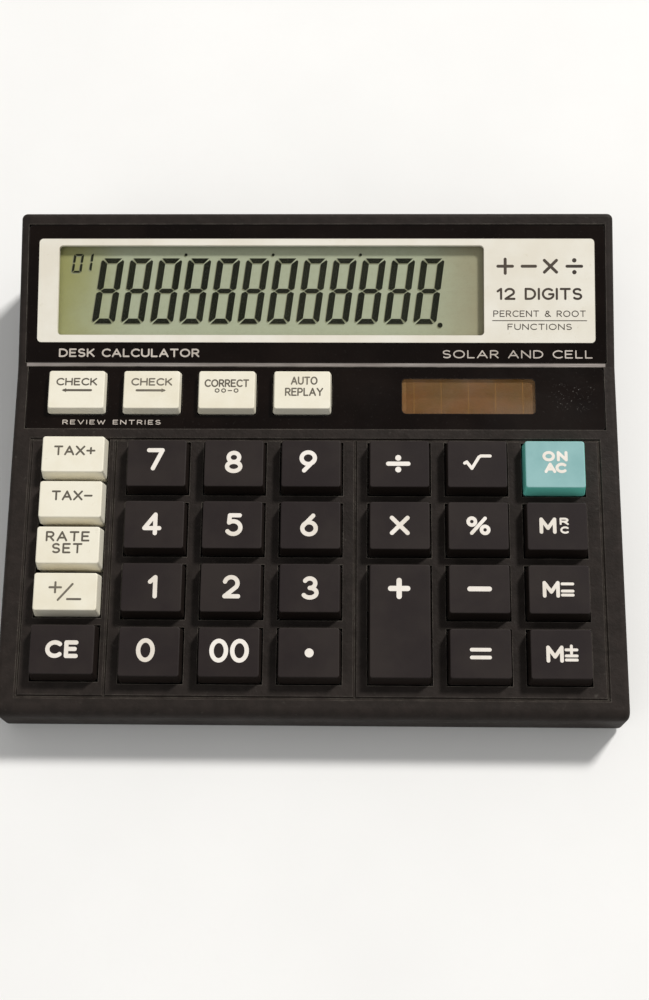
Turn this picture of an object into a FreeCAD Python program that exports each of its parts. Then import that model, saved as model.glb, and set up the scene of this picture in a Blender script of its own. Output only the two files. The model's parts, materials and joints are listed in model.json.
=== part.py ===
import FreeCAD, Part
import math
import os
import re
import Sketcher

Vector = FreeCAD.Vector
Rotation = FreeCAD.Rotation
Placement = FreeCAD.Placement

# Driving dimensions in millimetres and degrees. The origin is the middle of the footprint on the
# table: +X to the right, +Y to the rear, +Z up. "kink" is the line where the flatter keypad face
# meets the steeper display face. Lengths on a sloped face are measured along it from the kink.
SIZES = {
    "case_width": 148,
    "case_depth": 124,
    "kink_y": 23.9,
    "kink_z": 20.3,
    "keypad_slope": 5,
    "display_slope": 14,
    "wall": 2.0,
    "front_round": 2.6,
    "rear_round": 1.2,
    "side_round": 1.4,
    "foot_drop": 1.2,
    "floor_top": 3.6,
    "parting_z": 8.0,
    "tongue_wall": 1.0,
    "tongue_rise": 1.5,
    "fit": 0.1,
    # keys
    "key_width": 14.2,
    "key_length": 11.5,
    "key_rise": 3.6,
    "side_draft": 0.3,
    "rear_draft": 0.2,
    "front_draft": 1.1,
    "key_round": 0.65,
    "key_rim_round": 0.3,
    "key_wall": 1.3,
    "key_gap": 0.3,
    "key_post_radius": 1.8,
    "tab_reach": 0.9,
    "tab_length": 6.0,
    "tab_thickness": 1.0,
    "side_key_width": 15.0,
    "side_key_length": 8.9,
    "side_key_draft": 0.35,
    "side_key_front_draft": 0.9,
    "panel_key_width": 13.7,
    "panel_key_length": 9.6,
    "panel_key_rise": 1.8,
    # key columns, from the middle of the case, and rows, forward of the kink
    "side_column": -58.05,
    "digit_column": -37.7,
    "function_column": 20.7,
    "column_pitch": 18.6,
    "first_row": 26.0,
    "row_pitch": 15.2,
    "first_side_row": 23.85,
    "side_row_pitch": 11.24,
    "entry_row": 71.2,
    "panel_column": -58.5,
    "panel_pitch": 18.5,
    "panel_row": 6.75,
    # outline grooves round the three key groups
    "groove_depth": 0.42,
    "groove_rear": 19.0,
    "groove_front": 81.75,
    "groove_side": 69.1,
    "left_divider": -48.5,
    "right_divider": 10.15,
    # display face
    "recess_depth": 1.1,
    "panel_drop": 0.25,
    "panel_round": 1.0,
    "display_half": 71.8,
    "display_front": 0.95,
    "display_rear": 35.9,
    "frame_half": 69.2,
    "frame_front": 6.0,
    "frame_rear": 32.3,
    "window_left": -64.2,
    "window_right": 41.85,
    "window_front": 7.85,
    "window_rear": 30.6,
    "window_lip": 0.9,
    "window_thickness": 0.65,
    "trim_middle": 0.35,
    "trim_width": 0.8,
    "trim_half": 71.5,
    "trim_depth": 0.6,
    "trim_proud": 0.05,
    # function panel and solar cell
    "panel_half": 71.0,
    "panel_rear": 0.35,
    "panel_front": 16.2,
    "solar_middle": 37.85,
    "solar_width": 32.6,
    "solar_row": 7.6,
    "solar_length": 9.0,
    "solar_border": 0.4,
    "solar_thickness": 1.1,
    # liquid crystal display
    "glass_left": -66.4,
    "glass_right": 45.2,
    "glass_front": 4.9,
    "glass_rear": 33.2,
    "glass_thickness": 1.1,
    "glass_ledge": 2.6,
    "film_thickness": 0.2,
    "film_border": 0.4,
    "retainer_thickness": 1.0,
    "retainer_front": 8.4,
    "retainer_rear": 31.0,
    "retainer_left_screw": -69.6,
    "retainer_right_screw": 48.6,
    "retainer_front_screw": 11.0,
    "retainer_rear_screw": 28.4,
    "retainer_edge": 1.7,
    # circuit board and rubber mat
    "board_top": 7.2,
    "board_thickness": 1.2,
    "board_half": 64.2,
    "board_rear": 2.0,
    "board_front": 83.2,
    "mat_thickness": 1.0,
    "mat_half": 63.0,
    "mat_rear": 1.8,
    "mat_front": 82.9,
    "dome_base_radius": 4.5,
    "dome_top_radius": 2.3,
    "dome_skin": 0.8,
    "key_travel": 1.5,
    "dome_gap": 0.3,
    "post_reach": 0.3,
    "pillar_radius": 1.6,
    "pillar_rear_row": 17.3,
    "pillar_middle_row": 48.9,
    "pillar_front_row": 81.4,
    # screws
    "small_head_radius": 1.6,
    "small_head_height": 1.0,
    "small_shaft_radius": 0.75,
    "small_shaft_length": 3.2,
    "case_screw_x": 69.6,
    "case_screw_front": -57.6,
    "case_screw_middle": 6.7,
    "case_screw_rear": 57.6,
    "case_post_radius": 2.6,
    "post_top_front": 12.0,
    "post_top_middle": 17.6,
    "post_top_rear": 27.3,
    "case_boss_radius": 3.2,
    "case_head_radius": 2.3,
    "case_head_height": 1.8,
    "case_head_z": 3.4,
    "case_shaft_radius": 1.1,
    "case_shaft_length": 7.2,
    # battery bay
    "cell_radius": 7.1,
    "cell_length": 48.9,
    "cell_nub": 1.3,
    "cell_y": 50.8,
    "cell_z": 10.3,
    "bay_half": 27.2,
    "bay_front": 43.4,
    "bay_rear": 58.2,
    "bay_top": 17.7,
    "bay_wall": 1.2,
    "bay_roof": 1.0,
    "cover_top": 2.95,
    "cover_front": 42.5,
    "cover_lip_z": 7.5,
    "cover_lip_thickness": 1.6,
    "rail_reach": 1.7,
    "rail_bottom": 2.05,
    "contact_thickness": 0.4,
    "contact_half": 5.0,
    "spring_wire": 0.35,
    "spring_base_radius": 4.6,
    "spring_tip_radius": 2.8,
    "spring_height": 2.4,
    "foot_radius": 4.5,
    "foot_recess": 0.6,
    "foot_x": 58,
    "foot_y": 50,
    "wire_radius": 0.5,
    "sink": 0.3,
    "skirt_inset": 0.1,
    "opening_fit": 0.4,
    "tongue_start": 1.5,
    "tongue_end_gap": 0.6,
    "tab_rise": 1.3,
    "plate_low": 5.5,
    "can_clearance": 0.05,
    "tray_round": 1.0,
    "rib_left": -40,
    "rib_right": 20,
    "rib_front": 14,
    "rib_rear": 26,
    "rib_thickness": 1.0,
    "chip_x": -20,
    "chip_row": -34,
    "chip_radius": 6.5,
    "chip_height": 1.6,
    "chip_round": 1.5,
    "can_x": 44,
    "can_row": -8,
    "can_radius": 2.5,
    "can_length": 8,
    "can_round": 0.5,
    "foot_round": 0.4,
    "cell_round": 0.8,
    "cell_nub_radius": 2.7,
    "tab_start": 2,
    "tab_end": 5,
    "thumb_half": 6,
    "thumb_start": 5,
    "thumb_pitch": 1.4,
    "thumb_depth": 0.35,
    "solar_clear_left": 19,
    "solar_clear_right": 61,
    "solar_clear_front": 14.2,
    "board_pillar_left": -28.4,
    "board_pillar_side": 62.4,
    "ribbon_thickness": 0.15,
    "ribbon_width": 98,
    "ribbon_middle": -11,
}

KEYPAD = "keypad_slope"
DISPLAY = "display_slope"

# Key shapes: width, length, rise, side draft and front draft of each kind of key.
KEY_KINDS = {
    "standard": ("key_width", "key_length", "key_rise", "side_draft", "front_draft"),
    "double": ("key_width", "(key_length + row_pitch)", "key_rise", "side_draft", "front_draft"),
    "entry": ("side_key_width", "key_length", "key_rise", "side_key_draft", "front_draft"),
    "side": ("side_key_width", "side_key_length", "key_rise", "side_key_draft", "side_key_front_draft"),
    "panel": ("panel_key_width", "panel_key_length", "panel_key_rise", "side_draft", "side_key_front_draft"),
}

PANEL_KEYS = ["key_check_back", "key_check_forward", "key_correct", "key_auto_replay"]
SIDE_KEYS = ["key_tax_plus", "key_tax_minus", "key_rate_set", "key_sign_change"]
DIGIT_ROWS = [
    ["key_7", "key_8", "key_9"],
    ["key_4", "key_5", "key_6"],
    ["key_1", "key_2", "key_3"],
    ["key_0", "key_double_zero", "key_decimal"],
]
FUNCTION_ROWS = [
    ["key_divide", "key_square_root", "key_on_all_clear"],
    ["key_multiply", "key_percent", "key_memory_recall"],
    [None, "key_minus", "key_memory_minus"],
    [None, "key_equals", "key_memory_plus"],
]


def key_layout():
    """Every key as (label, kind, distance across, distance forward of the kink)."""
    keys = []
    for place, label in enumerate(PANEL_KEYS):
        keys.append((label, "panel", f"panel_column + {place} * panel_pitch", "panel_row"))
    for place, label in enumerate(SIDE_KEYS):
        keys.append((label, "side", "side_column", f"first_side_row + {place} * side_row_pitch"))
    keys.append(("key_clear_entry", "entry", "side_column", "entry_row"))
    for start, rows in (("digit_column", DIGIT_ROWS), ("function_column", FUNCTION_ROWS)):
        for row, labels in enumerate(rows):
            for column, label in enumerate(labels):
                if label:
                    across = f"{start} + {column} * column_pitch"
                    keys.append((label, "standard", across, f"first_row + {row} * row_pitch"))
    keys.append(("key_plus", "double", "function_column", "first_row + 2.5 * row_pitch"))
    return keys


document = FreeCAD.newDocument("DesktopCalculator")
sheet = document.addObject("Spreadsheet::Sheet", "Sizes")
for line, (alias, value) in enumerate(SIZES.items(), 1):
    sheet.set(f"A{line}", alias)
    sheet.set(f"B{line}", str(value))
    sheet.setAlias(f"B{line}", alias)
document.recompute()


def link(text):
    """Turn a formula written with bare size names into one that refers to the sheet."""
    return re.sub(r"[a-z][a-z_]*[a-z]", lambda m: f"Sizes.{m[0]}" if m[0] in SIZES else m[0], text)


def size(text):
    """The present value of a formula, read from the sheet."""
    names = {alias: float(sheet.get(alias)) for alias in SIZES}
    number = re.sub(r"[a-z][a-z_]*[a-z]", lambda m: f"({names[m[0]]!r})" if m[0] in names else m[0], text)
    holder = document.addObject("App::FeaturePython", "Reading")
    holder.addProperty("App::PropertyFloat", "Result")
    holder.setExpression("Result", number)
    holder.recompute()
    result = holder.Result
    document.removeObject(holder.Name)
    return result


def bind(item, **formulas):
    """Bind properties of an object to formulas; a double underscore stands for a dot."""
    for name, formula in formulas.items():
        item.setExpression(name.replace("__", "."), link(formula))
    return item


def on_face(slope, across="0", along="0", lift="0"):
    """Placement on a sloped face: across it, rearward along it from the kink, and off it."""
    return (
        f"placement(vector({across}; "
        f"kink_y + ({along}) * cos({slope}) - ({lift}) * sin({slope}); "
        f"kink_z + ({along}) * sin({slope}) + ({lift}) * cos({slope})); "
        f"rotation(vector(1; 0; 0); {slope}))"
    )


def block(name, x, y, z, body=None, kind="AdditiveBox"):
    """A box between two formulas on each axis, free-standing or as a feature of a body."""
    item = body.newObject(f"PartDesign::{kind}", name) if body else document.addObject("Part::Box", name)
    return bind(
        item,
        Length=f"({x[1]}) - ({x[0]})",
        Width=f"({y[1]}) - ({y[0]})",
        Height=f"({z[1]}) - ({z[0]})",
        Placement__Base__x=x[0],
        Placement__Base__y=y[0],
        Placement__Base__z=z[0],
    )


def rod(name, radius, place, z, body=None, kind="AdditiveCylinder"):
    """An upright cylinder at a place, between two heights."""
    if body:
        item = body.newObject(f"PartDesign::{kind}", name)
    else:
        item = document.addObject("Part::Cylinder", name)
    return bind(
        item,
        Radius=radius,
        Height=f"({z[1]}) - ({z[0]})",
        Placement__Base__x=place[0],
        Placement__Base__y=place[1],
        Placement__Base__z=z[0],
    )


def cone(name, radii, place, z):
    """An upright cone frustum at a place, between two heights."""
    return bind(
        document.addObject("Part::Cone", name),
        Radius1=radii[0],
        Radius2=radii[1],
        Height=f"({z[1]}) - ({z[0]})",
        Placement__Base__x=place[0],
        Placement__Base__y=place[1],
        Placement__Base__z=z[0],
    )


def new_body(label, placement=None):
    body = document.addObject("PartDesign::Body", label)
    body.Label = label
    if placement:
        bind(body, Placement=placement)
    return body


def fuse(name, items, placement=None):
    joined = document.addObject("Part::MultiFuse", name)
    joined.Shapes = items
    if placement:
        bind(joined, Placement=placement)
    return joined


def cut(label, base, tool, placement=None):
    result = document.addObject("Part::Cut", label)
    result.Label = label
    result.Base = base
    result.Tool = tool
    if placement:
        bind(result, Placement=placement)
    return result


def round_edges(body, radius, chosen, name):
    """Round the edges of a body's last feature that a rule picks."""
    document.recompute()
    last = body.Tip
    names = [f"Edge{place}" for place, edge in enumerate(last.Shape.Edges, 1) if chosen(edge)]
    fillet = body.newObject("PartDesign::Fillet", name)
    fillet.Base = (last, names)
    bind(fillet, Radius=radius)
    document.recompute()
    return fillet


def upright(edge):
    """Whether an edge is a straight one along Z."""
    box = edge.BoundBox
    return box.ZLength > 0.3 and box.XLength < 0.001 and box.YLength < 0.001


def origin_plane(body, role):
    return next(item for item in body.Origin.OriginFeatures if item.Role == role)


def outline(body, name, role, corners):
    """A closed sketch of straight sides on an origin plane, each corner bound to the sheet."""
    sketch = body.newObject("Sketcher::SketchObject", name)
    sketch.AttachmentSupport = [(origin_plane(body, role), "")]
    sketch.MapMode = "FlatFace"
    points = [Vector(size(across), size(up), 0) for across, up in corners]
    for start, end in zip(points, points[1:] + points[:1]):
        sketch.addGeometry(Part.LineSegment(start, end), False)
    for side, (across, up) in enumerate(corners):
        following = (side + 1) % len(corners)
        sketch.addConstraint(Sketcher.Constraint("Coincident", side, 2, following, 1))
        for kind, formula in (("DistanceX", across), ("DistanceY", up)):
            constraint = Sketcher.Constraint(kind, -1, 1, side, 1, size(formula))
            number = sketch.addConstraint(constraint)
            sketch.setExpression(f"Constraints[{number}]", link(formula))
    return sketch


def face_height(slope, y, depth="0"):
    """Height of a sloped face at y, or of a surface at some depth under it."""
    return f"(kink_z + ({y} - kink_y) * tan({slope}) - {depth} / cos({slope}))"


def side_profile(depth, front, rear, bottom):
    """Side outline of the case top at some depth under its outer faces."""
    middle_y = f"(kink_y + {depth} * (1 / cos(keypad_slope) - 1 / cos(display_slope))"
    middle_y += " / (tan(keypad_slope) - tan(display_slope)))"
    return [
        (rear, bottom),
        (rear, face_height(DISPLAY, rear, depth)),
        (middle_y, face_height(DISPLAY, middle_y, depth)),
        (front, face_height(KEYPAD, front, depth)),
        (front, bottom),
    ]


def groove(name, axis, start, length):
    """Cutter for a V-shaped groove along one axis of a face, from its start point."""
    item = document.addObject("Part::Box", name)
    side = "groove_depth * sqrt(2)"
    x, y = start
    turn = "vector(1; 0; 0); 45" if axis == "x" else "vector(0; 1; 0); -45"
    return bind(
        item,
        Length=length if axis == "x" else side,
        Width=side if axis == "x" else length,
        Height=side,
        Placement=f"placement(vector({x}; {y}; -groove_depth); rotation({turn}))",
    )


def key_aperture(name, kind, across, along, depth):
    """Cutter for the opening that a key moves in, with its clearance all round."""
    width, length, _, side, front = KEY_KINDS[kind]
    half = f"({width} / 2 + {side} + key_gap)"
    return block(
        name,
        (f"{across} - {half}", f"{across} + {half}"),
        (f"-({along}) - {length} / 2 - {front} - key_gap",
         f"-({along}) + {length} / 2 + rear_draft + key_gap"),
        (f"-({depth})", "1"),
    )


def key(label, kind, across, along):
    """A key cap, tapered to its top, with a skirt, two stop tabs and a post inside."""
    width, length, rise, side, front = KEY_KINDS[kind]
    half = f"({width} / 2)"
    reach = f"({length} / 2)"
    skirt_bottom = "-(wall + fit + tab_thickness)"
    body = new_body(label, on_face(KEYPAD, across, f"-({along})"))
    inset = "skirt_inset"
    block(
        f"{label}_skirt",
        (f"-({half} + {side} - {inset})", f"{half} + {side} - {inset}"),
        (f"-({reach} + {front} - {inset})", f"{reach} + rear_draft - {inset}"),
        (skirt_bottom, "0"),
        body,
    )
    round_edges(body, "key_round", upright, f"{label}_skirt_corners")
    cap = body.newObject("PartDesign::AdditiveWedge", f"{label}_cap")
    bind(
        cap,
        Xmin=f"-({half} + {side})",
        Xmax=f"{half} + {side}",
        X2min=f"-{half}",
        X2max=half,
        Ymin="0",
        Ymax=rise,
        Zmin=f"-({reach} + rear_draft)",
        Zmax=f"{reach} + {front}",
        Z2min=f"-{reach}",
        Z2max=reach,
    )
    cap.Placement = Placement(Vector(0, 0, 0), Rotation(Vector(1, 0, 0), 90))
    height = size(rise)

    def cap_corner(edge):
        box = edge.BoundBox
        return box.ZMin > -0.01 and box.ZLength > 0.9 * height

    round_edges(body, "key_round", cap_corner, f"{label}_corners")
    round_edges(body, "key_rim_round", lambda edge: edge.BoundBox.ZMin > 0.99 * height, f"{label}_rim")
    tab = f"({half} + {side} + key_gap + tab_reach)"
    block(
        f"{label}_tabs",
        (f"-{tab}", tab),
        ("-tab_length / 2", "tab_length / 2"),
        (skirt_bottom, "-(wall + fit)"),
        body,
    )
    block(
        f"{label}_hollow",
        (f"-({half} - key_wall)", f"{half} - key_wall"),
        (f"-({reach} - key_wall + 0.1)", f"{reach} - key_wall + 0.1"),
        (f"{skirt_bottom} - 0.5", f"{rise} - key_wall"),
        body,
        "SubtractiveBox",
    )
    rod(
        f"{label}_post",
        "key_post_radius",
        ("0", "0"),
        (f"{skirt_bottom} - post_reach", f"{rise} - key_wall + 0.1"),
        body,
    )
    return body


def case_screw_places():
    rows = ("case_screw_front", "case_screw_middle", "case_screw_rear")
    return [(side, row) for side in ("-case_screw_x", "case_screw_x") for row in rows]


def board_screw_places():
    """Board screws on the keypad face, as (across, along) formulas."""
    columns = ("-board_pillar_side", "board_pillar_left", "right_divider", "retainer_right_screw",
               "board_pillar_side")
    places = [(column, f"-{row}") for row in ("pillar_rear_row", "pillar_front_row") for column in columns]
    return places + [("right_divider", "-pillar_middle_row")]


def retainer_screw_places():
    """Display retainer screws on the display face, as (across, along) formulas."""
    columns = ("retainer_left_screw", "retainer_right_screw")
    return [(column, row) for column in columns for row in ("retainer_front_screw", "retainer_rear_screw")]


RETAINER_TOP = "(wall + film_thickness * 0.25 + 2 * glass_thickness + film_thickness + 0.05)"
RETAINER_BOTTOM = f"({RETAINER_TOP} + retainer_thickness)"
BOARD_BOTTOM = "(board_top + board_thickness)"
# How much of the shorter run beside a bend the bend may take up.
ARC_SHARE = 0.45
SPRING_TURNS = 3


def upper_shell():
    """The hollow wedge of the case top, before its openings."""
    body = new_body("upper_shell")
    front = "(-case_depth / 2)"
    rear = "(case_depth / 2)"
    outer = outline(body, "outer_profile", "YZ_Plane", side_profile("0", front, rear, "parting_z"))
    pad = body.newObject("PartDesign::Pad", "outer_block")
    pad.Profile = outer
    pad.Midplane = True
    bind(pad, Length="case_width")
    half_depth = size("case_depth / 2")
    bottom = size("parting_z")

    def along_x(edge):
        return edge.BoundBox.XLength > 10 and edge.BoundBox.ZMin > bottom + 1

    round_edges(body, "front_round", lambda e: along_x(e) and e.BoundBox.YMax < -half_depth + 1, "front_edge")
    round_edges(body, "rear_round", lambda e: along_x(e) and e.BoundBox.YMin > half_depth - 1, "rear_edge")

    def side_outline(edge):
        box = edge.BoundBox
        return box.XLength < 0.001 and abs(box.XMin) > 1 and box.ZMax > bottom + 0.01

    round_edges(body, "side_round", side_outline, "side_edges")
    inner = outline(
        body, "inner_profile", "YZ_Plane",
        side_profile("wall", f"({front} + wall)", f"({rear} - wall)", "(parting_z - 1)"),
    )
    pocket = body.newObject("PartDesign::Pocket", "inside")
    pocket.Profile = inner
    pocket.Midplane = True
    bind(pocket, Length="case_width - 2 * wall")
    document.recompute()
    box = body.Shape.BoundBox
    if pocket.Shape.Volume > 0.5 * box.XLength * box.YLength * box.ZLength:
        raise RuntimeError("the inside of the case top was not hollowed")
    return body


def upper_posts():
    """Screw posts and pillars that hang from the inside of the case top."""
    posts = []
    for place, (x, y) in enumerate(case_screw_places()):
        top = y.replace("case_screw", "post_top")
        posts.append(rod(f"case_post_{place}", "case_post_radius", (x, y), ("parting_z", top)))
    pillars = []
    for place, where in enumerate(board_screw_places()):
        pillars.append(rod(f"board_pillar_{place}", "pillar_radius", where, ("-board_top", "-(wall - sink)")))
    hangers = []
    for place, where in enumerate(retainer_screw_places()):
        span = (f"-{RETAINER_TOP}", "-(wall - sink)")
        hangers.append(rod(f"retainer_pillar_{place}", "pillar_radius", where, span))
    rib_depth = ("-(wall + glass_thickness + 0.5)", "-(wall - sink)")
    behind = ("glass_rear + 2 * fit", "glass_rear + 2 * fit + rib_thickness")
    beside = ("glass_right + 2 * fit", "glass_right + 2 * fit + rib_thickness")
    hangers.append(block("glass_rib_rear", ("rib_left", "rib_right"), behind, rib_depth))
    hangers.append(block("glass_rib_right", beside, ("rib_front", "rib_rear"), rib_depth))
    return posts + [
        fuse("board_pillars", pillars, on_face(KEYPAD)),
        fuse("retainer_pillars", hangers, on_face(DISPLAY)),
    ]


def keypad_cutters():
    """Everything cut from the keypad face, in that face's own frame."""
    cutters = [key_aperture(f"opening_{label}", kind, across, along, "wall + 1")
               for label, kind, across, along in key_layout() if kind != "side"]
    last = f"{len(SIDE_KEYS) - 1} * side_row_pitch"
    half = "(side_key_width / 2 + side_key_draft + key_gap)"
    cutters.append(block(
        "opening_side_keys",
        (f"side_column - {half}", f"side_column + {half}"),
        (f"-(first_side_row + {last} + side_key_length / 2 + side_key_front_draft + key_gap)",
         "-(first_side_row - side_key_length / 2 - rear_draft - key_gap)"),
        ("-(wall + 1)", "1"),
    ))
    reach = "(groove_side + groove_depth)"
    for name, row in (("rear", "groove_rear"), ("front", "groove_front")):
        cutters.append(groove(f"groove_{name}", "x", (f"-{reach}", f"-{row}"), f"2 * {reach}"))
    across_face = "groove_front - groove_rear"
    for place, column in enumerate(("-groove_side", "left_divider", "right_divider", "groove_side")):
        cutters.append(groove(f"groove_{place}", "y", (column, "-groove_front"), across_face))
    cutters.append(block(
        "panel_recess",
        ("-(panel_half + fit)", "panel_half + fit"),
        ("-(panel_front + fit)", "-(panel_rear - fit)"),
        ("-recess_depth", "1"),
    ))
    border = "(solar_border + fit)"
    cutters.append(block(
        "solar_opening",
        (f"solar_middle - solar_width / 2 - {border}", f"solar_middle + solar_width / 2 + {border}"),
        (f"-(solar_row + solar_length / 2 + {border})", f"-(solar_row - solar_length / 2 - {border})"),
        ("-(wall + 1)", "0"),
    ))
    for place, where in enumerate(board_screw_places()):
        top = f"-({BOARD_BOTTOM} - small_shaft_length - 0.4)"
        cutters.append(rod(f"board_pilot_{place}", "small_shaft_radius", where, ("-(board_top + 1)", top)))
    return fuse("keypad_cutters", cutters, on_face(KEYPAD))


def display_cutters():
    """Everything cut from the display face, in that face's own frame."""
    cutters = [
        block(
            "display_recess",
            ("-(display_half + fit)", "display_half + fit"),
            ("display_front - fit", "display_rear + fit"),
            ("-recess_depth", "2"),
        ),
        block(
            "window_opening",
            ("window_left - window_lip - fit", "window_right + window_lip + fit"),
            ("window_front - window_lip - fit", "window_rear + window_lip + fit"),
            ("-(wall + 1)", "0"),
        ),
        block(
            "trim_groove",
            ("-(trim_half + fit / 2)", "trim_half + fit / 2"),
            ("trim_middle - trim_width / 2 - fit / 2", "trim_middle + trim_width / 2 + fit / 2"),
            ("-trim_depth", "1"),
        ),
    ]
    for place, where in enumerate(retainer_screw_places()):
        top = f"-({RETAINER_BOTTOM} - small_shaft_length)"
        span = (f"-({RETAINER_TOP} + 1)", top)
        cutters.append(rod(f"retainer_pilot_{place}", "small_shaft_radius", where, span))
    return fuse("display_cutters", cutters, on_face(DISPLAY))


def upper_case():
    solid = fuse("upper_solid", [upper_shell()] + upper_posts())
    pilots = []
    for place, where in enumerate(case_screw_places()):
        span = ("parting_z - 1", "case_head_z + case_shaft_length + 0.3")
        pilots.append(rod(f"case_pilot_{place}", "case_shaft_radius", where, span))
    cutters = fuse("upper_cutters", [keypad_cutters(), display_cutters()] + pilots)
    return cut("upper_case", solid, cutters)


def lower_tray():
    """The outer tray of the case bottom, rounded like the top."""
    body = new_body("lower_tray")
    block(
        "tray_block",
        ("-case_width / 2", "case_width / 2"),
        ("-case_depth / 2", "case_depth / 2"),
        ("foot_drop", "parting_z"),
        body,
    )
    round_edges(body, "side_round", upright, "tray_corners")
    bottom = size("foot_drop")
    round_edges(body, "tray_round", lambda edge: edge.BoundBox.ZMax < bottom + 0.01, "tray_bottom_edges")
    return body


def lower_case():
    """Case bottom: tray, tongue, screw bosses and the battery bay."""
    inner_x = "(case_width / 2 - wall - fit)"
    inner_y = "(case_depth / 2 - wall - fit)"
    tongue = block(
        "tongue",
        (f"-{inner_x}", inner_x),
        (f"-{inner_y}", inner_y),
        ("floor_top", "parting_z + tongue_rise"),
    )
    hollow_x = f"({inner_x} - tongue_wall)"
    hollow_y = f"({inner_y} - tongue_wall)"
    tray_hollow = block(
        "tray_hollow", (f"-{hollow_x}", hollow_x), (f"-{hollow_y}", hollow_y),
        ("floor_top", "parting_z + tongue_rise + 1"),
    )
    tray = cut("hollow_tray", fuse("tray_and_tongue", [lower_tray(), tongue]), tray_hollow)
    bosses = [
        rod(f"case_boss_{place}", "case_boss_radius", where, ("floor_top - sink", "parting_z"))
        for place, where in enumerate(case_screw_places())
    ]
    bay = block(
        "bay_block",
        ("-(bay_half + bay_wall)", "bay_half + bay_wall"),
        ("bay_front - bay_wall", "bay_rear + bay_wall"),
        ("floor_top - sink", "bay_top + bay_roof"),
    )
    cutters = [
        block("bay_space", ("-bay_half", "bay_half"), ("bay_front", "bay_rear"), ("0", "bay_top")),
        block("cover_opening", ("-bay_half", "bay_half"),
              ("cover_front - fit", "case_depth / 2 + 1"), ("0", "cover_top + fit")),
        block("cover_rails", ("-(bay_half + rail_reach)", "bay_half + rail_reach"),
              ("cover_front + 1.4", "case_depth / 2 + 1"), ("rail_bottom - fit", "cover_top + fit")),
        block("lip_notch", ("-bay_half", "bay_half"),
              ("case_depth / 2 - cover_lip_thickness - fit", "case_depth / 2 + 1"),
              ("0", "cover_lip_z + fit")),
    ]
    for place, side in enumerate((-1, 1)):
        middle = f"{side} * (bay_half - contact_thickness / 2 - fit)"
        slot = (f"{middle} - contact_thickness / 2 - fit", f"{middle} + contact_thickness / 2 + fit")
        cutters.append(block(f"contact_slot_{place}", slot,
                             ("cell_y + tab_start - fit", "cell_y + tab_end + fit"),
                             ("bay_top - 1", "bay_top + bay_roof + 1")))
    for place, where in enumerate(case_screw_places()):
        cutters.append(rod(f"boss_hole_{place}", "case_shaft_radius + 0.3", where, ("0", "parting_z + 1")))
        cutters.append(rod(f"boss_sink_{place}", "case_head_radius + 0.3", where, ("0", "case_head_z")))
        relief = ("parting_z", "parting_z + tongue_rise + 1")
        cutters.append(rod(f"post_relief_{place}", "case_post_radius + 0.3", where, relief))
    for place, where in enumerate(foot_places()):
        seat = ("0", "foot_drop + foot_recess")
        cutters.append(rod(f"foot_seat_{place}", "foot_radius + fit", where, seat))
    return cut("lower_case", fuse("lower_solid", [tray, bay] + bosses), fuse("lower_cutters", cutters))


def foot_places():
    return [(x, y) for x in ("-foot_x", "foot_x") for y in ("-foot_y", "foot_y")]


def plate(label, x, y, z, placement, rounding=None, openings=()):
    """A flat plate with rounded corners and rounded openings."""
    body = new_body(label, placement)
    block(f"{label}_plate", x, y, z, body)
    for place, (across, along) in enumerate(openings):
        through = (f"({z[0]}) - 1", f"({z[1]}) + 1")
        block(f"{label}_opening_{place}", across, along, through, body, "SubtractiveBox")
    if rounding:
        round_edges(body, rounding, upright, f"{label}_corners")
    return body


def display_panel():
    return plate(
        "display_panel",
        ("-display_half", "display_half"),
        ("display_front", "display_rear"),
        ("-recess_depth", "-panel_drop"),
        on_face(DISPLAY),
        "panel_round",
        [(("-(frame_half + 0.05)", "frame_half + 0.05"), ("frame_front - 0.05", "frame_rear + 0.05"))],
    )


def display_frame():
    return plate(
        "display_frame",
        ("-frame_half", "frame_half"),
        ("frame_front", "frame_rear"),
        ("-recess_depth", "0"),
        on_face(DISPLAY),
        "panel_round",
        [(("window_left", "window_right"), ("window_front", "window_rear"))],
    )


def display_window():
    return plate(
        "display_window",
        ("window_left - window_lip", "window_right + window_lip"),
        ("window_front - window_lip", "window_rear + window_lip"),
        ("-(recess_depth + window_thickness)", "-recess_depth"),
        on_face(DISPLAY),
    )


def trim_strip():
    return plate(
        "trim_strip",
        ("-trim_half", "trim_half"),
        ("trim_middle - trim_width / 2", "trim_middle + trim_width / 2"),
        ("-trim_depth", "trim_proud"),
        on_face(DISPLAY),
    )


def function_panel():
    openings = []
    for _, kind, across, along in key_layout():
        if kind == "panel":
            width, length, _, side, front = KEY_KINDS[kind]
            half = f"({width} / 2 + {side} + key_gap)"
            openings.append((
                (f"{across} - {half}", f"{across} + {half}"),
                (f"-({along}) - {length} / 2 - {front} - key_gap",
                 f"-({along}) + {length} / 2 + rear_draft + key_gap"),
            ))
    openings.append((
        ("solar_middle - solar_width / 2 - 0.05", "solar_middle + solar_width / 2 + 0.05"),
        ("-(solar_row + solar_length / 2 + 0.05)", "-(solar_row - solar_length / 2 - 0.05)"),
    ))
    return plate(
        "function_panel",
        ("-panel_half", "panel_half"),
        ("-panel_front", "-panel_rear"),
        ("-recess_depth", "-panel_drop"),
        on_face(KEYPAD),
        "panel_round",
        openings,
    )


def solar_window():
    return plate(
        "solar_window",
        ("solar_middle - solar_width / 2", "solar_middle + solar_width / 2"),
        ("-(solar_row + solar_length / 2)", "-(solar_row - solar_length / 2)"),
        ("-recess_depth", "-(panel_drop + fit)"),
        on_face(KEYPAD),
        "panel_round",
    )


def solar_cell():
    return plate(
        "solar_cell",
        ("solar_middle - solar_width / 2 - solar_border", "solar_middle + solar_width / 2 + solar_border"),
        ("-(solar_row + solar_length / 2 + solar_border)", "-(solar_row - solar_length / 2 - solar_border)"),
        ("-(recess_depth + solar_thickness)", "-recess_depth"),
        on_face(KEYPAD),
    )


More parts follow.
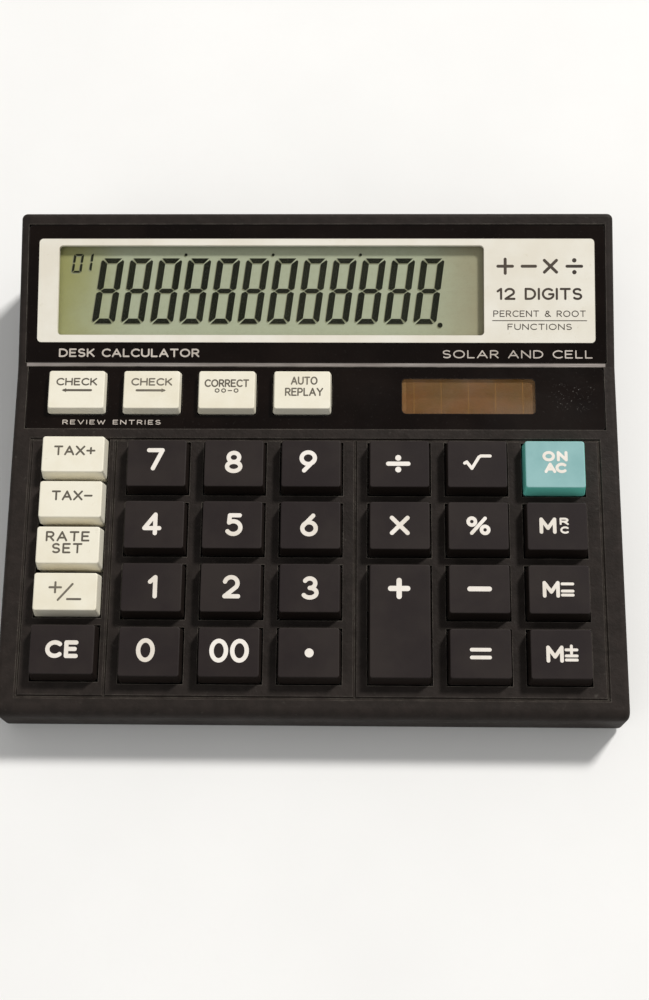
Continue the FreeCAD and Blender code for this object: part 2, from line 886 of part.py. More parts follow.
FRONT_GLASS_TOP = "(wall + film_thickness * 0.25)"
FRONT_GLASS_BOTTOM = f"({FRONT_GLASS_TOP} + glass_thickness)"
REAR_GLASS_BOTTOM = f"({FRONT_GLASS_BOTTOM} + glass_thickness)"


def lcd_front_glass():
    return plate(
        "lcd_front_glass",
        ("glass_left", "glass_right"),
        ("glass_front", "glass_rear"),
        (f"-{FRONT_GLASS_BOTTOM}", f"-{FRONT_GLASS_TOP}"),
        on_face(DISPLAY),
    )


def lcd_rear_glass():
    return plate(
        "lcd_rear_glass",
        ("glass_left", "glass_right"),
        ("glass_front + glass_ledge", "glass_rear"),
        (f"-{REAR_GLASS_BOTTOM}", f"-{FRONT_GLASS_BOTTOM}"),
        on_face(DISPLAY),
    )


def lcd_polarizers():
    """The front polarizing film and the reflecting film on the back, one node of two sheets."""
    front = block(
        "front_film",
        ("window_left - window_lip + film_border", "window_right + window_lip - film_border"),
        ("window_front - window_lip + film_border", "window_rear + window_lip - film_border"),
        (f"-{FRONT_GLASS_TOP}", f"-{FRONT_GLASS_TOP} + film_thickness"),
    )
    back = block(
        "back_film",
        ("glass_left + film_border", "glass_right - film_border"),
        ("glass_front + glass_ledge + film_border", "glass_rear - film_border"),
        (f"-({REAR_GLASS_BOTTOM} + film_thickness)", f"-{REAR_GLASS_BOTTOM}"),
    )
    films = document.addObject("Part::Compound", "lcd_polarizers")
    films.Label = "lcd_polarizers"
    films.Links = [front, back]
    return bind(films, Placement=on_face(DISPLAY))


def lcd_retainer():
    """The plate that holds the display glass up against the case."""
    body = new_body("lcd_retainer", on_face(DISPLAY))
    span = (f"-{RETAINER_BOTTOM}", f"-{RETAINER_TOP}")
    block("retainer_plate", ("glass_left", "retainer_right_screw + retainer_edge"),
          ("retainer_front", "retainer_rear"), span, body)
    block("retainer_arm", ("retainer_left_screw - retainer_edge", "glass_left + 1"),
          ("retainer_front_screw - retainer_edge", "retainer_rear_screw + retainer_edge"), span, body)
    for place, where in enumerate(retainer_screw_places()):
        through = (f"-{RETAINER_BOTTOM} - 1", f"-{RETAINER_TOP} + 1")
        rod(f"retainer_hole_{place}", "small_shaft_radius + 0.2", where, through, body, "SubtractiveCylinder")
    return body


def main_board():
    body = new_body("main_board", on_face(KEYPAD))
    span = (f"-{BOARD_BOTTOM}", "-board_top")
    block("board_plate", ("-board_half", "board_half"), ("-board_front", "board_rear"), span, body)
    for place, where in enumerate(board_screw_places()):
        through = (f"-{BOARD_BOTTOM} - 1", "-board_top + 1")
        rod(f"board_hole_{place}", "small_shaft_radius + 0.2", where, through, body, "SubtractiveCylinder")
    return body


def dome_mat():
    """Rubber sheet on the board with one hollow dome under every key.

    The domes are as low as a fully pressed key leaves them, so that no key post cuts into one.
    """
    top = "(board_top - mat_thickness)"
    sheet_block = block("mat_sheet", ("-mat_half", "mat_half"), ("-mat_front", "-mat_rear"),
                        ("-board_top", f"-{top}"))
    dome_top = "(wall + fit + tab_thickness + post_reach + key_travel + dome_gap)"
    domes = []
    hollows = []
    for label, _, across, along in key_layout():
        where = (across, f"-({along})")
        domes.append(cone(f"dome_{label}", ("dome_base_radius", "dome_top_radius"), where,
                          (f"-{top} - 0.2", f"-{dome_top}")))
        hollows.append(cone(f"dome_inside_{label}",
                            ("dome_base_radius - dome_skin", "dome_top_radius - dome_skin"), where,
                            ("-board_top", f"-{dome_top} - dome_skin")))
    hollows.append(block("solar_clearance", ("solar_clear_left", "solar_clear_right"),
                         ("-solar_clear_front", "0"), ("-(board_top + 1)", f"-{top} + 1")))
    for place, where in enumerate(board_screw_places()):
        through = ("-(board_top + 1)", f"-{top} + 1")
        hollows.append(rod(f"mat_hole_{place}", "pillar_radius + opening_fit", where, through))
    return cut("dome_mat", fuse("mat_solid", [sheet_block] + domes), fuse("mat_hollows", hollows),
               on_face(KEYPAD))


def chip_cover():
    """The bead of resin over the chip, under the board."""
    body = new_body("chip_cover", on_face(KEYPAD, "chip_x", "chip_row", f"-{BOARD_BOTTOM}"))
    rod("resin_bead", "chip_radius", ("0", "0"), ("-chip_height", "0"), body)
    low = -size("chip_height") + 0.1
    round_edges(body, "chip_round", lambda edge: edge.BoundBox.ZMax < low, "resin_round")
    return body


def board_capacitor():
    """The capacitor that lies under the board near its rear edge."""
    depth = f"({BOARD_BOTTOM} + can_radius + can_clearance)"
    body = new_body("board_capacitor", on_face(KEYPAD, "can_x", "can_row", f"-{depth}"))
    can = body.newObject("PartDesign::AdditiveCylinder", "capacitor_can")
    bind(can, Radius="can_radius", Height="can_length",
         Placement="placement(vector(-can_length / 2; 0; 0); rotation(vector(0; 1; 0); 90))")
    round_edges(body, "can_round", lambda edge: edge.BoundBox.XLength < 0.01, "capacitor_rims")
    return body


def screw(name, head_radius, head_height, shaft_radius, shaft_length, place):
    """A pan-head screw pointing up, with its head under the given place and a cross slot."""
    x, y, z = place
    head = rod(f"{name}_head", head_radius, (x, y), (f"{z} - {head_height}", z))
    shaft = rod(f"{name}_shaft", f"{shaft_radius} - 0.01", (x, y), (f"{z} - 0.1", f"{z} + {shaft_length}"))
    reach = f"({head_radius} * 0.62)"
    slit = f"({head_radius} * 0.14)"
    depth = (f"{z} - {head_height} - 1", f"{z} - {head_height} * 0.45")
    slots = []
    for axis, half_x, half_y in (("x", reach, slit), ("y", slit, reach)):
        across = (f"{x} - {half_x}", f"{x} + {half_x}")
        along = (f"{y} - {half_y}", f"{y} + {half_y}")
        slots.append(block(f"{name}_slot_{axis}", across, along, depth))
    return cut(name, fuse(f"{name}_blank", [head, shaft]), fuse(f"{name}_cross", slots))


def screw_group(name, places, sizes, placement=None):
    screws = [screw(f"{name}_{place}", *sizes, where) for place, where in enumerate(places)]
    group = document.addObject("Part::Compound", name)
    group.Label = name
    group.Links = screws
    if placement:
        bind(group, Placement=placement)
    return group


def small_screws():
    """The short screws of the board and of the display retainer."""
    sizes = ("small_head_radius", "small_head_height", "small_shaft_radius", "small_shaft_length")
    board = [(x, y, f"(-{BOARD_BOTTOM})") for x, y in board_screw_places()]
    retainer = [(x, y, f"(-{RETAINER_BOTTOM})") for x, y in retainer_screw_places()]
    group = document.addObject("Part::Compound", "small_screws")
    group.Label = "small_screws"
    group.Links = [
        screw_group("board_screw_group", board, sizes, on_face(KEYPAD)),
        screw_group("retainer_screw_group", retainer, sizes, on_face(DISPLAY)),
    ]
    return group


def case_screws():
    sizes = ("case_head_radius", "case_head_height", "case_shaft_radius", "case_shaft_length")
    places = [(x, y, "case_head_z") for x, y in case_screw_places()]
    return screw_group("case_screws", places, sizes)


def rubber_feet():
    """Four round feet in their seats, resting on the table."""
    feet = document.addObject("Part::Compound", "rubber_feet")
    feet.Label = "rubber_feet"
    discs = []
    for place, where in enumerate(foot_places()):
        disc = rod(f"foot_{place}", "foot_radius", where, ("0", "foot_drop + foot_recess"))
        document.recompute()
        rounded = document.addObject("Part::Fillet", f"foot_rounded_{place}")
        rounded.Base = disc
        rim = [n for n, edge in enumerate(disc.Shape.Edges, 1) if edge.BoundBox.ZMax < 0.01]
        rounded.Edges = [(n, size("foot_round"), size("foot_round")) for n in rim]
        discs.append(rounded)
    feet.Links = discs
    return feet


def battery_cell():
    """A round cell lying along X, its nub toward +X."""
    body = new_body("battery_cell")
    bind(body, Placement="placement(vector(bay_half - contact_thickness - fit * 1.5 - cell_nub - cell_length;"
                         " cell_y; cell_z); rotation(vector(0; 1; 0); 90))")
    rod("cell_can", "cell_radius", ("0", "0"), ("0", "cell_length"), body)
    round_edges(body, "cell_round", lambda edge: edge.BoundBox.ZLength < 0.01, "cell_rims")
    rod("cell_nub", "cell_nub_radius", ("0", "0"), ("cell_length - 0.1", "cell_length + cell_nub"), body)
    return body


def contact_plate(body, name, side):
    """A thin contact standing at one end of the bay, its solder tab through the roof."""
    middle = f"{side} * (bay_half - contact_thickness / 2 - fit)"
    span = (f"{middle} - contact_thickness / 2", f"{middle} + contact_thickness / 2")
    block(f"{name}_plate", span, ("cell_y - contact_half", "cell_y + contact_half"),
          ("cell_z - plate_low", "bay_top - fit"), body)
    block(f"{name}_tab", span, ("cell_y + tab_start", "cell_y + tab_end"),
          ("bay_top - 1", "bay_top + bay_roof + tab_rise"), body)


def battery_contact():
    body = new_body("battery_contact")
    contact_plate(body, "plus_contact", 1)
    return body


def battery_spring():
    """The minus contact: a plate with a conical coil that presses on the cell."""
    body = new_body("battery_spring_plate")
    contact_plate(body, "minus_contact", -1)
    start = size("-(bay_half - contact_thickness - fit) + spring_wire * 0.6")
    middle = Vector(start, size("cell_y"), size("cell_z"))
    steps = 12 * SPRING_TURNS
    points = []
    for step in range(steps + 1):
        share = step / steps
        angle = math.tau * SPRING_TURNS * share
        radius = size("spring_base_radius") * (1 - share) + size("spring_tip_radius") * share
        offset = Vector(size("spring_height") * share, radius * math.cos(angle), radius * math.sin(angle))
        points.append(middle + offset)
    coil = lead("spring_coil", [smooth_path(points)], "spring_wire", True)
    spring = fuse("battery_spring", [body, coil])
    spring.Label = "battery_spring"
    return spring


def battery_cover():
    """The cover under the cell: it slides out to the rear on two side tongues."""
    body = new_body("battery_cover")
    half = "(bay_half - fit)"
    rear = "(case_depth / 2)"
    block("cover_plate", (f"-{half}", half), ("cover_front", rear), ("foot_drop", "cover_top"), body)
    block("cover_lip", (f"-{half}", half), (f"{rear} - cover_lip_thickness", rear),
          ("foot_drop", "cover_lip_z"), body)
    tongue = "(bay_half + rail_reach - fit)"
    tongue_span = ("cover_front + tongue_start", f"{rear} - cover_lip_thickness - tongue_end_gap")
    block("cover_tongues", (f"-{tongue}", tongue), tongue_span, ("rail_bottom", "cover_top"), body)
    for place in range(6):
        y = f"(cover_front + thumb_start + {place} * thumb_pitch)"
        block(f"thumb_groove_{place}", ("-thumb_half", "thumb_half"), (y, f"{y} + thumb_pitch / 2"),
              ("foot_drop - 1", "foot_drop + thumb_depth"), body, "SubtractiveBox")
    return body


def smooth_path(points):
    """A wire that runs smoothly through all its points."""
    curve = Part.BSplineCurve()
    curve.interpolate(points)
    return Part.Wire(curve.toShape())


def lead(label, paths, radius="wire_radius", frenet=False):
    """Round wires, one solid swept along each path, each compared with its section times its length."""
    solids = []
    for path in paths:
        first = path.Edges[0]
        start = first.valueAt(first.FirstParameter)
        section = Part.Wire(Part.makeCircle(size(radius), start, first.tangentAt(first.FirstParameter)))
        solid = path.makePipeShell([section], True, frenet)
        expected = math.pi * size(radius) ** 2 * path.Length
        print(f"{label}: swept {solid.Volume:.2f} mm3, section times length {expected:.2f} mm3")
        solids.append(solid)
    item = document.addObject("Part::Feature", label)
    item.Label = label
    item.Shape = solids[0] if len(solids) == 1 else Part.makeCompound(solids)
    return item


def battery_wires():
    """Red and black leads from the two contact tabs, round the bay, to the board."""
    y = size("cell_y") + 3.5
    z = size("bay_top + bay_roof") + 0.9
    outward = ((0.6, y, z), (3.5, y - 0.5, z - 1.5), (5.5, y - 6, 14), (6, 40, 11), (7, 30, 10.8),
               (7.5, 24.5, 11.35))
    for label, side in (("battery_wire_red", 1), ("battery_wire_black", -1)):
        route = [Vector(side * (size("bay_half") + away), along, up) for away, along, up in outward]
        lead(label, [rounded_path(route)])


def solar_wires():
    """Two short leads from the back of the solar cell down to the board."""
    downward = ((50, -2.85), (53, -3.6), (56, -5.6), (56.6, -6.9))
    routes = [[Vector(x, y, z) for x, z in downward] for y in (-5.6, -9.6)]
    wires = lead("solar_wires", [rounded_path(route) for route in routes])
    wires.Placement = face_frame(KEYPAD)
    return wires


def rounded_path(points, radius=None):
    """A wire of straight runs joined by arcs, of one radius or each as large as its shorter run allows."""
    edges = []
    start = points[0]
    for before, corner, after in zip(points, points[1:], points[2:]):
        back = before - corner
        ahead = after - corner
        shorter = min(back.Length, ahead.Length)
        back.normalize()
        ahead.normalize()
        half_angle = back.getAngle(ahead) / 2
        bend = radius or ARC_SHARE * shorter * math.tan(half_angle)
        setback = bend / math.tan(half_angle)
        print(f"bend radius {bend:.2f} mm")
        inward = (back + ahead).normalize()
        arc_start = corner + back * setback
        arc_middle = corner + inward * (bend / math.sin(half_angle) - bend)
        arc_end = corner + ahead * setback
        edges.append(Part.makeLine(start, arc_start))
        edges.append(Part.Arc(arc_start, arc_middle, arc_end).toShape())
        start = arc_end
    edges.append(Part.makeLine(start, points[-1]))
    return Part.Wire(edges)


def face_frame(slope):
    """The placement of a sloped face's own frame, read from the sheet."""
    return Placement(Vector(0, size("kink_y"), size("kink_z")), Rotation(Vector(1, 0, 0), size(slope)))


def lcd_ribbon():
    """The flat film that joins the ledge of the display glass to the rear edge of the board."""
    half = size("ribbon_thickness") / 2
    width = size("ribbon_width") / 2
    under_glass = -size(FRONT_GLASS_BOTTOM) - half - 0.01
    on_board = -size("board_top") + half + 0.01
    x = size("ribbon_middle")
    path = rounded_path([
        face_frame(DISPLAY).multVec(Vector(x, 7.2, under_glass)),
        face_frame(DISPLAY).multVec(Vector(x, 3.7, under_glass)),
        face_frame(KEYPAD).multVec(Vector(x, 3.4, on_board)),
        face_frame(KEYPAD).multVec(Vector(x, -1.3, on_board)),
    ], 1.2)
    start = path.Edges[0].firstVertex().Point
    up = face_frame(DISPLAY).Rotation.multVec(Vector(0, 0, half))
    side = Vector(width, 0, 0)
    section = Part.makePolygon([start - side - up, start + side - up, start + side + up, start - side + up,
                                start - side - up])
    item = document.addObject("Part::Feature", "lcd_ribbon")
    item.Label = "lcd_ribbon"
    item.Shape = path.makePipeShell([section], True, False)
    return item


MAKERS = (
    upper_case, lower_case, display_panel, display_frame, display_window, trim_strip, function_panel,
    solar_window, solar_cell, lcd_front_glass, lcd_rear_glass, lcd_polarizers, lcd_retainer, main_board,
    dome_mat, chip_cover, board_capacitor, small_screws, case_screws, rubber_feet, battery_cell,
    battery_contact, battery_spring, battery_cover, battery_wires, solar_wires, lcd_ribbon,
)

for make in MAKERS:
    make()
for key_label, key_kind, key_across, key_along in key_layout():
    key(key_label, key_kind, key_across, key_along)
document.recompute()

# The sub-parts are the objects named like their makers, the two battery wires and the keys.
PART_LABELS = [make.__name__ for make in MAKERS if make is not battery_wires]
PART_LABELS += ["battery_wire_red", "battery_wire_black"] + [entry[0] for entry in key_layout()]


def check_and_write():
    """Stop on any failed object, then write one STEP file for each sub-part."""
    for item in document.Objects:
        if {"Invalid", "Error"} & set(item.State):
            raise RuntimeError(f"{item.Label} failed: {item.State}")
    os.makedirs("parts", exist_ok=True)
    for label in PART_LABELS:
        shape = document.getObjectsByLabel(label)[0].Shape
        if shape.isNull() or not shape.isValid():
            raise RuntimeError(f"{label} has no valid shape")
        shape.exportStep(os.path.join("parts", f"{label}.step"))
        print(f"{label}: {len(shape.Solids)} solid(s), {shape.Volume:.1f} mm3")


check_and_write()
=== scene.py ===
import json
import math

import bpy
from mathutils import Matrix, Vector
from mathutils.geometry import delaunay_2d_cdt


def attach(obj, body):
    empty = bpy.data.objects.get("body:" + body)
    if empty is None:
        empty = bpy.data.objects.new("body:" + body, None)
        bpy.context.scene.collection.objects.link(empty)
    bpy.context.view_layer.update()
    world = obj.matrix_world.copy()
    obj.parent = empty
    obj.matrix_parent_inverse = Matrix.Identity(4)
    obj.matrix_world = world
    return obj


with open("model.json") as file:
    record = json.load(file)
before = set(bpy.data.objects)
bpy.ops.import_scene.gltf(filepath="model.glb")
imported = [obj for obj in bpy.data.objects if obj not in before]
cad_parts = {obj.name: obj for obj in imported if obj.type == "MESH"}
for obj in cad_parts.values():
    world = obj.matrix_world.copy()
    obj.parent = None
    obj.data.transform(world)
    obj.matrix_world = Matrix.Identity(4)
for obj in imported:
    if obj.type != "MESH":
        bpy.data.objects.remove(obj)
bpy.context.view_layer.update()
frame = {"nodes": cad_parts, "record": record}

MM = 0.001
NODES = frame["nodes"]

# The two sloped faces of the case, in degrees: the keypad and the steeper display above it.
KEYPAD_SLOPE = 5.0
DISPLAY_SLOPE = 14.0


# ---------------------------------------------------------------- places on the sloped faces

class Face:
    """A node's extent along one sloped face: x across, y up the slope, z out of the face."""

    def __init__(self, node, slope):
        angle = math.radians(slope)
        self.along = Vector((0, math.cos(angle), math.sin(angle)))
        self.out = Vector((0, -math.sin(angle), math.cos(angle)))
        points = [v.co for v in NODES[node].data.vertices]
        xs = [p.x for p in points]
        ys = [p.dot(self.along) for p in points]
        zs = [p.dot(self.out) for p in points]
        self.left, self.right = min(xs), max(xs)
        self.front, self.rear = min(ys), max(ys)
        self.top = max(zs)
        crown = [(p.x, p.dot(self.along)) for p in points if p.dot(self.out) > self.top - 0.02 * MM]
        self.middle = (
            (min(x for x, _ in crown) + max(x for x, _ in crown)) / 2,
            (min(y for _, y in crown) + max(y for _, y in crown)) / 2,
        )

    def place(self, x, y, lift=0.0):
        """The matrix that stands a flat drawing on the face, with its origin at x, y."""
        spot = Vector((x, 0, 0)) + self.along * y + self.out * (self.top + lift)
        turn = Matrix((Vector((1, 0, 0)), self.along, self.out)).transposed()
        return Matrix.Translation(spot) @ turn.to_4x4()


# ---------------------------------------------------------------- materials

def srgb(red, green, blue):
    """Display values from 0 to 255 as linear light."""
    def channel(value):
        value /= 255
        return value / 12.92 if value <= 0.04045 else ((value + 0.055) / 1.055) ** 2.4
    return (channel(red), channel(green), channel(blue), 1.0)


class Shader:
    """A node tree round one Principled shader, read in the object's own metres."""

    def __init__(self, name):
        self.material = bpy.data.materials.new(name)
        self.material.use_nodes = True
        self.nodes = self.material.node_tree.nodes
        self.links = self.material.node_tree.links
        self.principled = self.nodes["Principled BSDF"]
        self.where = self.nodes.new("ShaderNodeTexCoord").outputs["Object"]

    def link(self, output, socket):
        self.links.new(output, socket)

    def noise(self, scale, detail=3.0, roughness=0.55, distortion=0.0, stretch=None):
        node = self.nodes.new("ShaderNodeTexNoise")
        node.inputs["Scale"].default_value = scale
        node.inputs["Detail"].default_value = detail
        node.inputs["Roughness"].default_value = roughness
        node.inputs["Distortion"].default_value = distortion
        vector = self.where
        if stretch:
            mapping = self.nodes.new("ShaderNodeMapping")
            mapping.inputs["Scale"].default_value = stretch
            self.link(vector, mapping.inputs["Vector"])
            vector = mapping.outputs["Vector"]
        self.link(vector, node.inputs["Vector"])
        return node.outputs["Fac"]

    def spread(self, value, low, high, to_low=0.0, to_high=1.0):
        """value from low..high to to_low..to_high, held inside."""
        node = self.nodes.new("ShaderNodeMapRange")
        node.interpolation_type = "SMOOTHSTEP"
        self.link(value, node.inputs["Value"])
        names = ("From Min", "From Max", "To Min", "To Max")
        for name, number in zip(names, (low, high, to_low, to_high)):
            node.inputs[name].default_value = number
        return node.outputs["Result"]

    def mix(self, factor, first, second):
        node = self.nodes.new("ShaderNodeMix")
        node.data_type = "RGBA"
        sockets = [s for s in node.inputs if s.enabled]
        for socket, value in zip(sockets, (factor, first, second)):
            if isinstance(value, (tuple, float)):
                socket.default_value = value
            else:
                self.link(value, socket)
        return [s for s in node.outputs if s.enabled][0]

    def sum(self, kind, first, second):
        """Two values, or a value and a number, put together by one maths operation."""
        node = self.nodes.new("ShaderNodeMath")
        node.operation = kind
        for socket, value in zip(node.inputs, (first, second)):
            if isinstance(value, float):
                socket.default_value = value
            else:
                self.link(value, socket)
        return node.outputs[0]

    def axis(self, name):
        node = self.nodes.new("ShaderNodeSeparateXYZ")
        self.link(self.where, node.inputs[0])
        return node.outputs[name]

    def upward(self):
        """1 on surfaces that face up, 0 on walls."""
        geometry = self.nodes.new("ShaderNodeNewGeometry")
        node = self.nodes.new("ShaderNodeSeparateXYZ")
        self.link(geometry.outputs["Normal"], node.inputs[0])
        return self.spread(node.outputs["Z"], 0.35, 0.9)

    def edges(self, radius):
        """1 on sharp and rounded edges, 0 on flat faces."""
        bevel = self.nodes.new("ShaderNodeBevel")
        bevel.samples = 4
        bevel.inputs["Radius"].default_value = radius
        geometry = self.nodes.new("ShaderNodeNewGeometry")
        dot = self.nodes.new("ShaderNodeVectorMath")
        dot.operation = "DOT_PRODUCT"
        self.link(bevel.outputs[0], dot.inputs[0])
        self.link(geometry.outputs["True Normal"], dot.inputs[1])
        return self.spread(dot.outputs["Value"], 0.995, 0.85)

    def bump(self, height, strength, depth):
        node = self.nodes.new("ShaderNodeBump")
        node.inputs["Strength"].default_value = strength
        node.inputs["Distance"].default_value = depth
        self.link(height, node.inputs["Height"])
        self.link(node.outputs["Normal"], self.principled.inputs["Normal"])


def moulded(name, colour, patch, rough=(0.45, 0.6), grain=1800.0, depth=0.03, edge_wear_and_highlight=None,
            edge_wear_and_highlight_amount=0.5, dust=None, patch_scale=70.0, painted_wall_light_and_shade=None, **fixed):
    """Moulded or rolled material: patchy colour, fine grain, lightened edges (abrasion, and on the case also
    a painted highlight), a little dust, and walls in a colour of painted light and shade.
    """
    shader = Shader(name)
    cloud = shader.noise(patch_scale, 4.0, 0.6)
    fine = shader.noise(grain, 2.0, 0.7)
    base = shader.mix(shader.spread(cloud, 0.35, 0.68), colour, patch)
    base = shader.mix(shader.spread(fine, 0.5, 0.8, 0.0, 0.25), base, patch)
    if dust:
        specks = shader.spread(shader.noise(520.0, 5.0, 0.75), 0.6, 0.78, 0.0, 0.5)
        base = shader.mix(specks, base, dust)
    # Walls take their own colour: painted shade on the black keys' walls and painted light on the teal key's
    # front face, for how the light falls on them.
    if painted_wall_light_and_shade:
        base = shader.mix(shader.upward(), painted_wall_light_and_shade, base)
    # Edges are lightened: abrasion, and on the case, at full strength, also a painted highlight along the
    # lit edges of its grooves.
    if edge_wear_and_highlight:
        rubbed_and_lit = shader.spread(shader.noise(240.0, 4.0, 0.7), 0.35, 0.65, 0.25 * edge_wear_and_highlight_amount, edge_wear_and_highlight_amount)
        base = shader.mix(shader.sum("MULTIPLY", shader.edges(0.35 * MM), rubbed_and_lit), base, edge_wear_and_highlight)
    shader.link(base, shader.principled.inputs["Base Color"])
    streaks = shader.noise(38.0, 5.0, 0.65, 0.4)
    shader.link(shader.spread(streaks, 0.3, 0.7, *rough), shader.principled.inputs["Roughness"])
    shader.bump(fine, 0.6, depth * MM)
    for socket, value in fixed.items():
        shader.principled.inputs[socket.replace("_", " ")].default_value = value
    return shader.material


# The scuffed place beside the solar window: where it fades in and out, across and along, in metres.
SCUFF_ACROSS = ((0.0565, 0.0605), (0.07, 0.0665))
SCUFF_ALONG = ((0.011, 0.0145), (0.021, 0.0185))


def panel_gloss():
    """Glossy black panel, dusty in places and scuffed beside the solar window."""
    shader = Shader("panel_black")
    cloud = shader.noise(60.0, 4.0, 0.6)
    fine = shader.noise(700.0, 2.0, 0.7)
    base = shader.mix(shader.spread(cloud, 0.35, 0.68), srgb(14, 8, 6), srgb(21, 14, 11))
    specks = shader.spread(shader.noise(1500.0, 4.0, 0.8), 0.6, 0.72)
    scuffed = shader.sum(
        "MULTIPLY",
        shader.sum("MULTIPLY", *(shader.spread(shader.axis("X"), *fade) for fade in SCUFF_ACROSS)),
        shader.sum("MULTIPLY", *(shader.spread(shader.axis("Y"), *fade) for fade in SCUFF_ALONG)),
    )
    amount = shader.sum("MAXIMUM", shader.sum("MULTIPLY", scuffed, 0.75), 0.05)
    base = shader.mix(shader.sum("MULTIPLY", specks, amount), base, srgb(150, 146, 140))
    base = shader.mix(shader.sum("MULTIPLY", shader.edges(0.3 * MM), 0.5), base, srgb(66, 61, 58))
    shader.link(base, shader.principled.inputs["Base Color"])
    shader.link(shader.spread(shader.noise(38.0, 5.0, 0.65, 0.4), 0.3, 0.7, 0.14, 0.3),
                shader.principled.inputs["Roughness"])
    shader.principled.inputs["Specular IOR Level"].default_value = 0.12
    shader.bump(fine, 0.4, 0.004 * MM)
    return shader.material


def metal(name, colour, patch, rough=(0.25, 0.45), stretch=(1.0, 30.0, 30.0)):
    """Drawn or rolled metal with fine lines along its length."""
    shader = Shader(name)
    lines = shader.noise(120.0, 4.0, 0.7, 0.0, stretch)
    cloud = shader.noise(55.0, 4.0, 0.6)
    shader.link(
        shader.mix(shader.spread(cloud, 0.3, 0.7), colour, patch), shader.principled.inputs["Base Color"]
    )
    shader.link(shader.spread(lines, 0.3, 0.7, *rough), shader.principled.inputs["Roughness"])
    shader.principled.inputs["Metallic"].default_value = 1.0
    shader.bump(lines, 0.4, 0.01 * MM)
    return shader.material


def clear(name, tint, rough, alpha):
    """Clear plastic: nearly see-through, with a faint haze and hairline scratches."""
    shader = Shader(name)
    haze = shader.noise(90.0, 4.0, 0.6)
    scratches = shader.noise(300.0, 3.0, 0.8, 0.2, (1.0, 9.0, 1.0))
    shader.link(
        shader.mix(shader.spread(haze, 0.3, 0.7, 0.0, 0.2), tint, srgb(205, 205, 196)),
        shader.principled.inputs["Base Color"],
    )
    shader.link(shader.spread(haze, 0.3, 0.7, *rough), shader.principled.inputs["Roughness"])
    low, high = alpha
    shader.link(shader.spread(scratches, 0.55, 0.8, low, high), shader.principled.inputs["Alpha"])
    shader.bump(scratches, 0.1, 0.01 * MM)
    return shader.material


def display_film():
    """The grey-green display film, yellower to the left and cooler in the middle."""
    shader = Shader("display_film")
    across = shader.axis("X")
    left = srgb(150, 150, 96)
    middle = srgb(172, 178, 152)
    right = srgb(154, 148, 120)
    cloud = shader.noise(45.0, 3.0, 0.6)
    shifted = shader.sum("ADD", across, shader.sum("MULTIPLY", cloud, 0.02))
    base = shader.mix(shader.spread(shifted, -0.058, -0.034), left, middle)
    base = shader.mix(shader.spread(shifted, 0.03, 0.055), base, right)
    fine = shader.noise(900.0, 3.0, 0.7)
    base = shader.mix(shader.spread(fine, 0.4, 0.8, 0.0, 0.12), base, srgb(120, 118, 88))
    shader.link(base, shader.principled.inputs["Base Color"])
    shader.link(shader.spread(cloud, 0.3, 0.7, 0.42, 0.55), shader.principled.inputs["Roughness"])
    shader.principled.inputs["Specular IOR Level"].default_value = 0.15
    shader.bump(fine, 0.1, 0.01 * MM)
    return shader.material


def solar_brown():
    """Amorphous solar film: brown with a fine sparkle and warmer and cooler patches."""
    shader = Shader("solar_brown")
    cloud = shader.noise(110.0, 4.0, 0.65)
    sparkle = shader.noise(1500.0, 3.0, 0.8)
    base = shader.mix(shader.spread(cloud, 0.35, 0.65), srgb(150, 102, 56), srgb(132, 98, 46))
    base = shader.mix(shader.spread(sparkle, 0.5, 0.75, 0.0, 0.5), base, srgb(160, 114, 70))
    shader.link(base, shader.principled.inputs["Base Color"])
    shader.link(shader.spread(cloud, 0.3, 0.7, 0.3, 0.45), shader.principled.inputs["Roughness"])
    shader.bump(sparkle, 0.2, 0.01 * MM)
    return shader.material
